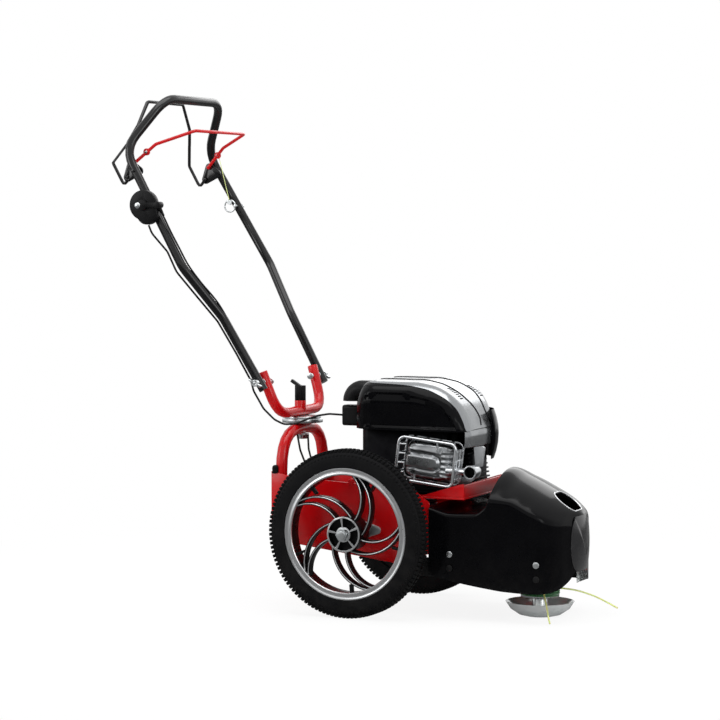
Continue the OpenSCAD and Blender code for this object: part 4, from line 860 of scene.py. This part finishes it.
# How far a point lies inside a closed outline, negative outside it
def insideBy(outline, spot):
    inside, nearest = False, 1e9
    spot = Vector(spot)
    for start, end in zip(outline, outline[1:] + outline[:1]):
        start, end = Vector(start), Vector(end)
        run = end - start
        along = min(max((spot - start).dot(run) / run.length_squared, 0), 1)
        nearest = min(nearest, (spot - start - run * along).length)
        if (start.y > spot.y) != (end.y > spot.y) and spot.x < run.x * (spot.y - start.y) / run.y + start.x:
            inside = not inside
    return nearest if inside else -nearest


def shroudPiece():
    size = engineSizes
    rear = size["rear"]
    panel = [(rear + size["length"] * along, size["base"] + size["height"] * up)
             for along, up in size["recess"]]
    stations = [(rear, 5), (rear + 1.5, 1.8), (rear + 5, 0)]  # a rounded rear edge
    stations += [(rear + 5 + (size["length"] - 6) * step / 120, 0) for step in range(1, 121)]
    rings = []
    for x, inset in stations:
        ring = []
        for px, py, pz in shroudRow(x, size["base"], inset):
            if py < 0 and pz < size["base"] + size["height"] * 0.85:
                py += size["recessDepth"] * smoothStep(-2.5, 3.5, insideBy(panel, (px, pz)))
            ring.append((px, py, pz))
        rings.append(ring)
    shroud = loftRings("shroudDressed", rings, "gloss_black")
    return settle(shroud, 40, "chassis", "gloss_black", "engine_shroud")


# The silver cover: a thin skin over the shroud above a falling line, a front skirt, moulded lines and vents
coverSizes = {
    "grow": 0.9, "wall": 1.6, "nearTurn": 38, "farTurn": 19.5, "core": (90, 0, 440), "seamRadius": 1.8,
    "skirt": ((402, -3), (404, -0.5), (412, 0.4), (426, 0.8), (438, 0.6), (443, -1.5)),  # height, bow
    "seam": [(6, -40), (60, -43), (120, -45), (170, -47), (208, -46), (230, -38), (247, -27),
             (256, -26), (262, -33)],
    "vent": (2.6, 17, 2.8, 0.9, 0.5), "ventCount": 7, "ventStep": 5.4, "ventAt": (192, 64)}


def coverSkirt():
    size = engineSizes
    front = size["rear"] + size["length"]
    near, far = size["nearCorner"], size["farCorner"]
    left, right = near - size["half"], size["half"] - far
    plan = []
    for step in range(13):
        x, y = onCircle(near, coverSizes["nearTurn"] * (step / 12 - 1))
        plan.append((front - near + x, left + y))
    plan += [(front, left + (right - left) * step / 12) for step in range(1, 12)]
    for step in range(13):
        x, y = onCircle(far, coverSizes["farTurn"] * step / 12)
        plan.append((front - far + x, right + y))
    rings = [[(x + bow, y, z) for x, y in plan] for z, bow in coverSizes["skirt"]]
    return loftRings("coverSkirt", rings, "silver_cover", closed=False, caps=False)


def coverDetails():
    details = []
    slot = taperedBlock("ventSlot", *coverSizes["vent"])
    atX, atY = coverSizes["ventAt"]
    route = smoothRoute([(x, y, 0) for x, y in coverSizes["seam"]], 6)
    for side in (-1, 1):  # a moulded line and a short vent row on each side of the middle
        line = [(x, -side * y, shroudTop(x) + 1.1) for x, y, zero in route]
        details.append(sweptBar("coverSeam", line, coverSizes["seamRadius"], "black_plastic", 8))
        slots = runTree("row", "ventSlots", "black_plastic", {
            "Block": slot, "Count": coverSizes["ventCount"], "Start": (0, 0, 0),
            "Step": (coverSizes["ventStep"] * mm, 0.0, 0.0), "Turn": (0, math.radians(-90), 0)})
        for vertex in slots.data.vertices:
            x, y = vertex.co.x / mm + atX, vertex.co.y / mm + side * atY
            vertex.co = (x * mm, y * mm, (shroudTop(x) - 0.7) * mm + vertex.co.z)
        details.append(slots)
    bpy.data.objects.remove(slot)
    return details


def coverPiece():
    size = engineSizes
    begin = size["cover"][0][0]
    rings = []
    for step in range(101):
        along = begin + (0.999 - begin) * step / 100
        low = size["base"] + size["height"] * easeTable(size["cover"], along)
        x = size["rear"] + size["length"] * along
        rings.append(shroudRow(x, low, 0.0, coverSizes["grow"], (8, 12, 24)))
    skin = loftRings("coverSkin", rings, "silver_cover", closed=False, caps=False)
    shell = joinPieces("coverShell", skin, coverSkirt())

    def faceAway(work):
        for face in work.faces:
            away = face.calc_center_median() / mm - Vector(coverSizes["core"])
            away.z *= 1.5
            if face.normal.dot(away) < 0:
                face.normal_flip()

    editMesh(shell.data, faceAway)
    thicken(shell, coverSizes["wall"])
    applyModifiers(shell)
    cover = joinPieces("coverDressed", shell, *coverDetails())
    return settle(cover, 40, "chassis", "silver_cover", "top_cover")


shroudPiece()
coverPiece()
print("engine: shroud with its panel, silver cover")

# The wound line on the trimmer head
headSizes = {"spot": (400, 0, 51), "turns": 5.0, "radius": 45.2, "height": 22, "thickness": 2.2}


def headPiece():
    wound = runTree("winding", "woundLine", "head_plastic", {
        "Turns": headSizes["turns"], "Radius": headSizes["radius"] * mm, "Height": headSizes["height"] * mm,
        "Thickness": headSizes["thickness"] * mm})
    spool = dressedMesh("line_head", 1.0, "bright_steel")
    head = joinPieces("lineHeadDressed", spool, moved(wound, headSizes["spot"]))
    return settle(head, 40, "trimmer_head", "head_plastic", "line_head")


headPiece()
print("trimmer head: spool and wound line")


# Two finishes on one node: a test on each face's middle, in millimetres, picks the dark one
def twoTone(node, isDark):
    piece = dressedMesh(node, 0.8)
    piece.data.materials.append(finishes["black_plastic"])
    for polygon in piece.data.polygons:
        polygon.material_index = 1 if isDark(polygon.center / mm) else 0
    return settle(piece, 40, bodyOf[node], slotOf[node], node)


toneSizes = {"boltSplit": 130, "bore": (279, 347.8), "boreRadius": 13.4, "boreFront": -149.4}


def inBore(spot):
    away = math.dist((spot.x, spot.z), toneSizes["bore"])
    return away < toneSizes["boreRadius"] and spot.y > toneSizes["boreFront"]


twoTone("hood_bolts", lambda spot: spot.z < toneSizes["boltSplit"])
twoTone("exhaust_outlet", inBore)

# Bails: the black one's arms lean in between these heights (height, forward, inward), the red one has eyes
bailSizes = {
    "lean": [[1076, 0, 0], [1128, 19, 34], [1166, 22, 28], [1226, 0, 0]], "eyeAt": (-551, 188.7, 1101.5),
    "eye": [(0.1, 3.2), (7.0, 3.2), (8.6, 2.2), (8.6, -2.2), (7.0, -3.2), (0.1, -3.2)],
    "hole": [(0.1, 4.6), (3.4, 4.6), (3.8, 4.2), (3.8, -4.2), (3.4, -4.6), (0.1, -4.6)]}


def bailPieces():
    black = dressedMesh("black_bail", 0)
    for vertex in black.data.vertices:
        height = vertex.co.z / mm
        inward = easeTable(bailSizes["lean"], height, 2) * smoothStep(20, 90, abs(vertex.co.y) / mm)
        vertex.co.x += easeTable(bailSizes["lean"], height, 1) * mm
        vertex.co.y -= math.copysign(inward, vertex.co.y) * mm
    settle(black, 60, "engine_stop_bail", "black_paint", "black_bail")
    parts = [dressedMesh("red_bail", 0.3)]
    x, y, z = bailSizes["eyeAt"]
    for sign in (-1, 1):
        for shape, slot, steps in (("eye", "red_paint", 28), ("hole", "bright_steel", 20)):
            parts.append(turned(shape, bailSizes[shape], (x, sign * y, z), (0.1, 1, 0.1), slot, steps))
    settle(joinPieces("redBailDressed", *parts), 45, "drive_bail", "red_paint", "red_bail")


bailPieces()

# Muffler and its guard: a pressed box behind a frame of bars, both leaning a little forward
guardSizes = {
    "middle": (166, 0, 369), "half": (76, 54), "corner": 18, "front": -146.4, "back": -97, "lean": 6.5,
    "frame": 3.4, "bar": 2.2, "barsUp": (-33, -11, 11, 33), "barsAcross": (-48, -16, 16, 48),
    "wing": (-58, 10), "sideBars": (-134, -114), "sideHalf": 38,
    "shortBars": ((26, 24, 1), (-24, -34, -1)),  # across, from, side
    "legs": (50, 14, 13, 3.0), "tabs": (15, 2.4),  # legs: across, drop, reach, radius; tabs: reach, radius
    "box": (64, 46), "boxBack": -100, "boxDepth": 37,
    "stub": [(0.1, 0), (8, 0), (8, 29.5), (0.1, 29.5)], "stubFrom": (214, -133, 347.8)}


def guardLoop(inset, y):
    wide, tall = (half - inset for half in guardSizes["half"])
    corner = guardSizes["corner"] - inset
    points = []
    for across, up, first in ((1, 1, 0), (-1, 1, 90), (-1, -1, 180), (1, -1, 270)):
        for step in range(9):
            x, z = onCircle(corner, first + 90 * step / 8)
            points.append((across * (wide - corner) + x, y, up * (tall - corner) + z))
    return points + points[:2]


def leaned(piece):
    return moved(piece, guardSizes["middle"], Matrix.Rotation(math.radians(guardSizes["lean"]), 4, "Y"))


def guardPiece():
    size = guardSizes
    wide, tall = (half - size["frame"] for half in size["half"])
    front, back, thin = size["front"], size["back"], size["bar"]
    bars = []  # start, end, radius
    for up in size["barsUp"]:
        bars += [((side * wide, front, up), (side * wide, back, up), thin) for side in (-1, 1)]
        bars.append(((-wide, front, up), (size["wing"][0], front + size["wing"][1], up), thin))
    for across in size["barsAcross"]:
        bars += [((across, front, side * tall), (across, back, side * tall), thin) for side in (-1, 1)]
    bars += [((wide, y, -size["sideHalf"]), (wide, y, size["sideHalf"]), thin + 1) for y in size["sideBars"]]
    for across, up, side in size["shortBars"]:
        low, high = sorted((up, side * tall))
        bars.append(((across, front, low), (across, front, high), thin))
    legAt, drop, reach, thick = size["legs"]
    tab, tabRadius = size["tabs"]
    for across in (-legAt, legAt):  # legs to the engine block
        for side in (-1, 1):
            foot = side * (tall - drop)
            bars.append(((across, back, foot), (across, back + reach, foot), thick))
            bars.append(((across, back, side * tall), (across, back, side * (tall - tab)), tabRadius))
    lines = [(guardLoop(size["frame"], front), size["frame"]), (guardLoop(size["frame"], back), thin + 0.6)]
    lines += [(straightLine(start, end, 3), radius) for start, end, radius in bars]
    parts = [sweptBar("guardBar", line, radius, "guard_metal", 12) for line, radius in lines]
    return settle(leaned(joinPieces("guardDressed", *parts)), 50, "chassis", "guard_metal", "muffler_guard")


# Relief of the pressed box: a lozenge in a groove, waves, and ribs at the front end
reliefSizes = {
    "middle": (14, -3), "lozenge": (4.5, 16, 11), "groove": (-3, 4, 19),  # height, then where it fades
    "ribs": (1.8, 0.5), "waves": (1.3, 0.3, 0.02), "waveFrom": (22, 28), "ribFrom": (34, 40)}


def boxRelief(u, v):
    size = reliefSizes
    right, up = size["middle"]
    away = math.hypot(max(u - right, 0), v - up)
    front = smoothStep(*size["ribFrom"], u)
    high, outer, inner = size["lozenge"]
    deep, reach, at = size["groove"]
    ribs, ribPitch = size["ribs"]
    waves, pitch, slant = size["waves"]
    waves *= smoothStep(*size["waveFrom"], abs(v - up)) * (1 - front)
    return (high * smoothStep(outer, inner, away) + deep * smoothStep(reach, 0, abs(away - at))
            + ribs * math.sin(v * ribPitch) * front + waves * math.sin(v * pitch + 1 + u * slant))


def fillBack(work):
    bmesh.ops.holes_fill(work, edges=[edge for edge in work.edges if edge.is_boundary])
    bmesh.ops.recalc_face_normals(work, faces=work.faces)


def mufflerPiece():
    size = guardSizes
    wide, tall = size["box"]
    rings = []
    for row in range(65):
        ring = []
        for column in range(81):
            u, v = 2 * column / 80 - 1, 2 * row / 64 - 1
            reach = max(abs(u), abs(v))
            norm = (abs(u) ** 6 + abs(v) ** 6) ** (1 / 6)
            scale = reach / norm if norm > 0 else 1.0
            relief = boxRelief(u * wide, v * tall) * smoothStep(1.0, 0.85, reach)
            depth = size["boxBack"] - size["boxDepth"] * (1 - reach ** 10) - relief
            ring.append((u * scale * wide, depth, v * scale * tall))
        rings.append(ring)
    box = loftRings("mufflerBox", rings, "muffler_shell", closed=False, caps=False)
    editMesh(box.data, fillBack)
    stub = turned("outletStub", size["stub"], size["stubFrom"], (1, 0, 0), "guard_metal", 32)  # box to outlet
    return settle(joinPieces("mufflerDressed", leaned(box), stub), 60, "chassis", "guard_metal", "muffler")


guardPiece()
mufflerPiece()
print("muffler, guard and bails")

# Small turned fittings that the photograph shows: profile, place, axis, sides, body, slot and smoothing
fittings = {
    "throttleButton": ([(0.1, 3.4), (3.5, 3.2), (6.2, 2.4), (7.2, 1.2), (7.2, 0), (0.1, 0)],
                       (-524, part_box("throttle_lever")[0][1] / mm + 0.5, 971), (0, -1, 0), 32, "throttle",
                       "bright_steel", 40),
    "rubberStop": ([(0.1, 20), (4, 19.4), (7, 16.5), (8, 12), (7.6, 6), (8.4, 3), (8.4, 0.02), (0.1, 0.02)],
                   (-232, -133, 325), (0, 0, 1), 28, "chassis", "tyre_rubber", 40),
    "guideNut": ([(0.1, 9), (4, 9), (6.5, 7.5), (7.2, 5), (7.2, 0), (0.1, 0)], (-528, 208, 982), (0, 1, 0), 6,
                 "handle", "bright_steel", 30)}
for name, (profile, spot, axis, sides, body, slot, angle) in fittings.items():
    settle(turned(name, profile, spot, axis, slot, sides), angle, body, slot)

# Plain blocks: sizes, place and slot
blockSizes = {"tailBracketDressed": ((44, 4, 46, 0.92, 1.2), (152, -149, 122), "black_plastic"),
              "finCoreDressed": ((46, 96, 62, 0.97, 3.0), (200.5, 0, 352), "cast_alloy")}
for name, (sizes, spot, slot) in blockSizes.items():
    settle(moved(taperedBlock(name, *sizes, slot), spot), 35, "chassis", slot)

# A bolt head on the side plate: rings of radius share, height share and roundness over a hexagon
boltSizes = {
    "across": 13, "height": 6, "spot": (-29, -137, 313),
    "rings": ((1.3, 0, 1), (1.3, 0.25, 1), (1.2, 0.3, 1), (1.0, 0.3, 0), (1.0, 0.85, 0), (0.86, 1.0, 0.5),
              (0.4, 1.06, 1))}


def boltPiece():
    rings = []
    for share, up, roundness in boltSizes["rings"]:
        ring = []
        for degrees in range(0, 360, 15):
            flat = 1 / math.cos(math.radians((degrees + 30) % 60 - 30))
            y, z = onCircle(boltSizes["across"] / 2 * share * (flat * (1 - roundness) + roundness), degrees)
            ring.append((up * boltSizes["height"], y, z))
        rings.append(ring)
    head = loftRings("plateBolt", rings, "red_paint")
    moved(head, boltSizes["spot"], Matrix.Rotation(-math.pi / 2, 4, "Z"))
    return settle(head, 35, "chassis", "red_paint")


# Cables and a wire: the second throttle cable with its boot, the bail's wire, the run to the engine
cableSizes = {
    "radius": 2.2, "bootFrom": (-488, -250, 972), "wireFrom": (-551, 194, 1101), "wireTo": (-528, 209, 984),
    "route": [(-482, -248, 958), (-474, -244, 942), (-458, -240, 908), (-437, -239, 871), (-414, -234, 828),
              (-388, -218, 786), (-352, -197, 735), (-322, -181, 672), (-304, -176, 616), (-298, -176, 600)],
    "boot": [(0.1, 30), (2.6, 30), (3.2, 22), (4.2, 18), (4.2, 15), (5.0, 13), (5.0, 9), (6.0, 7), (6.0, 0),
             (0.1, 0)],
    "wireRadius": 0.9, "runStart": (-0.262, -0.173, 0.515), "runEnd": (-0.181, -0.126, 0.446)}


def cablePieces():
    size = cableSizes
    cable = sweptBar("throttleCable", smoothRoute(size["route"], 6), size["radius"], "cable_jacket", 12)
    ahead = Vector(size["route"][1]) - Vector(size["route"][0])
    boot = turned("cableBoot", size["boot"], size["bootFrom"], ahead, "black_plastic", 24)
    settle(joinPieces("throttleCableDressed", cable, boot), 60, "handle", "cable_jacket")
    start, end = Vector(size["wireFrom"]), Vector(size["wireTo"])
    wire = sweptBar("bailWire", straightLine(start, end, 24), size["wireRadius"], "nylon_line", 8)
    smoothByAngle(wire, 60)
    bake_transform(wire)
    run = dressedMesh("engine_cable", 0)  # bends between the engine and the turntable
    smoothByAngle(run, 70)
    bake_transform(run)
    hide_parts("engine_cable")
    dressed.add("engine_cable")


boltPiece()
cablePieces()
print("fittings: button, stop, nut, blocks, bolt head and cables")

# The rest of the nodes: edge softening in millimetres, finish and smoothing angle where they differ
dressing = {
    "handle_tube": (0, None, 50), "arch_tube": (0, None, 50), "yoke": (0.3, None, 50),
    "leg_cable": (0, None, 70), "drive_cables": (0, None, 70), "rope_guide": (0.3, None, 50),
    "rear_cap": (0.8, "black_plastic", 50), "throttle_lever": (1.0, "black_plastic", 40),
    "dipstick": (1.5, None, 40), "lock_knob": (1.5, None, 40), "throttle_housing": (1.5, None, 40),
    "ground_dish": (0.6, None, 50), "front_rim": (3.0, None, 40), "carburettor_box": (3.0, None, 40),
    "front_gussets": (1.5,), "engine_plate": (1.2,), "fuel_cap": (1.5, None, 40), "engine_block": (2.5,)}
plain = [node for node in frame["nodes"] if node not in dressed]
for node in plain:
    dressNode(node, *dressing.get(node, ()))
print("nodes dressed as they are:", len(plain), "of", len(frame["nodes"]))

# Floor, light and camera
stage = {
    "floorHalf": 9.0, "skyForLight": 0.62, "floorWhite": 0.95, "floorGlow": 0.88, "floorMirrored": 0.2,
    "fade": (0.7, 1.6), "cardGrey": 0.01,
    "card": [(-7, -9, 0.05), (9, -9, 0.05), (9, -9, 1.6), (-7, -9, 1.6)],
    "cameraSpot": (2.4676, -5.6926, 0.936), "aim": (0.0256, -0.2086, 0.6084), "fieldDegrees": 15.98,
    "lamps": {"topSoftbox": ((0.2, -0.3, 3.2), (0, 0, 0.3), (3.0, 2.2), 60),  # place, aim, size, power
              "leftSoftbox": ((-2.6, -2.4, 1.8), (0, 0, 0.5), (1.4, 1.8), 28),
              "rightSoftbox": ((3.0, -1.6, 1.6), (0.2, 0, 0.4), (1.2, 1.8), 22),
              "rearSoftbox": ((-0.4, 3.2, 2.0), (0, 0, 0.5), (2.4, 1.6), 26)}}


# One where a ray comes from the camera, a mirror or a clear piece
def seenMask(tree):
    path = addNode(tree, "ShaderNodeLightPath").outputs
    both = mathNode(tree, "MAXIMUM", path["Is Camera Ray"], path["Is Glossy Ray"])
    return mathNode(tree, "MAXIMUM", both, path["Is Transmission Ray"])


def makeWorld():
    world = bpy.data.worlds.new("studio")
    world.use_nodes = True
    tree = world.node_tree
    background = tree.nodes["Background"].inputs
    background["Color"].default_value = (1, 1, 1, 1)
    strength = rampNode(tree, seenMask(tree), 0.0, 1.0, stage["skyForLight"], 1.0)
    tree.links.new(strength, background["Strength"])
    bpy.context.scene.world = world


# A pale floor that fades to white with distance and looks darker in mirrors, so that blacks stay black
def makeFloor():
    half = stage["floorHalf"]
    corners = [(-half, -half, 0), (half, -half, 0), (half, half, 0), (-half, half, 0)]
    floor = meshObject("floor", corners, [(0, 1, 2, 3)])
    material = bpy.data.materials.new("paleFloor")
    material.use_nodes = True
    tree = material.node_tree
    tree.nodes.remove(tree.nodes["Principled BSDF"])
    white = stage["floorWhite"]
    matte = addNode(tree, "ShaderNodeBsdfDiffuse", None, {"Color": (white, white, white, 1)})
    glossy = addNode(tree, "ShaderNodeLightPath").outputs["Is Glossy Ray"]
    glow = addNode(tree, "ShaderNodeEmission", None, {
        "Strength": rampNode(tree, glossy, 0.0, 1.0, 1.0, stage["floorMirrored"])})
    spot = addNode(tree, "ShaderNodeNewGeometry").outputs["Position"]
    away = addNode(tree, "ShaderNodeVectorMath", {"operation": "LENGTH"}, {0: spot}).outputs["Value"]
    fade = rampNode(tree, away, *stage["fade"], stage["floorGlow"], 1.0)
    seen = mathNode(tree, "MULTIPLY", seenMask(tree), fade, True)
    mix = addNode(tree, "ShaderNodeMixShader", None, {"Fac": seen, 1: matte.outputs[0], 2: glow.outputs[0]})
    tree.links.new(mix.outputs[0], tree.nodes["Material Output"].inputs["Surface"])
    floor.data.materials.append(material)


# A dark card behind the camera that only mirrors see
def makeCard():
    card = meshObject("darkCard", stage["card"], [(0, 1, 2, 3)])
    grey = stage["cardGrey"]
    material = bpy.data.materials.new("darkCard")
    material.use_nodes = True
    shader = material.node_tree.nodes["Principled BSDF"].inputs
    shader["Base Color"].default_value = (grey, grey, grey, 1)
    shader["Roughness"].default_value = 1.0
    card.data.materials.append(material)
    card.visible_camera = card.visible_diffuse = card.visible_shadow = False


def placeAimed(name, data, spot, target):
    thing = bpy.data.objects.new(name, data)
    thing.location = spot
    thing.rotation_euler = (Vector(target) - thing.location).to_track_quat("-Z", "Y").to_euler()
    bpy.context.scene.collection.objects.link(thing)
    return thing


def makeLamp(name, spot, target, size, power):
    lamp = bpy.data.lights.new(name, "AREA")
    lamp.shape = "RECTANGLE"
    lamp.size, lamp.size_y = size
    lamp.energy = power
    placeAimed(name, lamp, spot, target)


def makeCamera():
    camera = bpy.data.cameras.new("photoCamera")
    camera.angle = math.radians(stage["fieldDegrees"])
    bpy.context.scene.camera = placeAimed("photoCamera", camera, stage["cameraSpot"], stage["aim"])


makeWorld()
makeFloor()
makeCard()
for name, lamp in stage["lamps"].items():
    makeLamp(name, *lamp)
makeCamera()
bpy.context.scene.view_settings.view_transform = "Standard"
print("stage: floor, sky, lamps and camera")
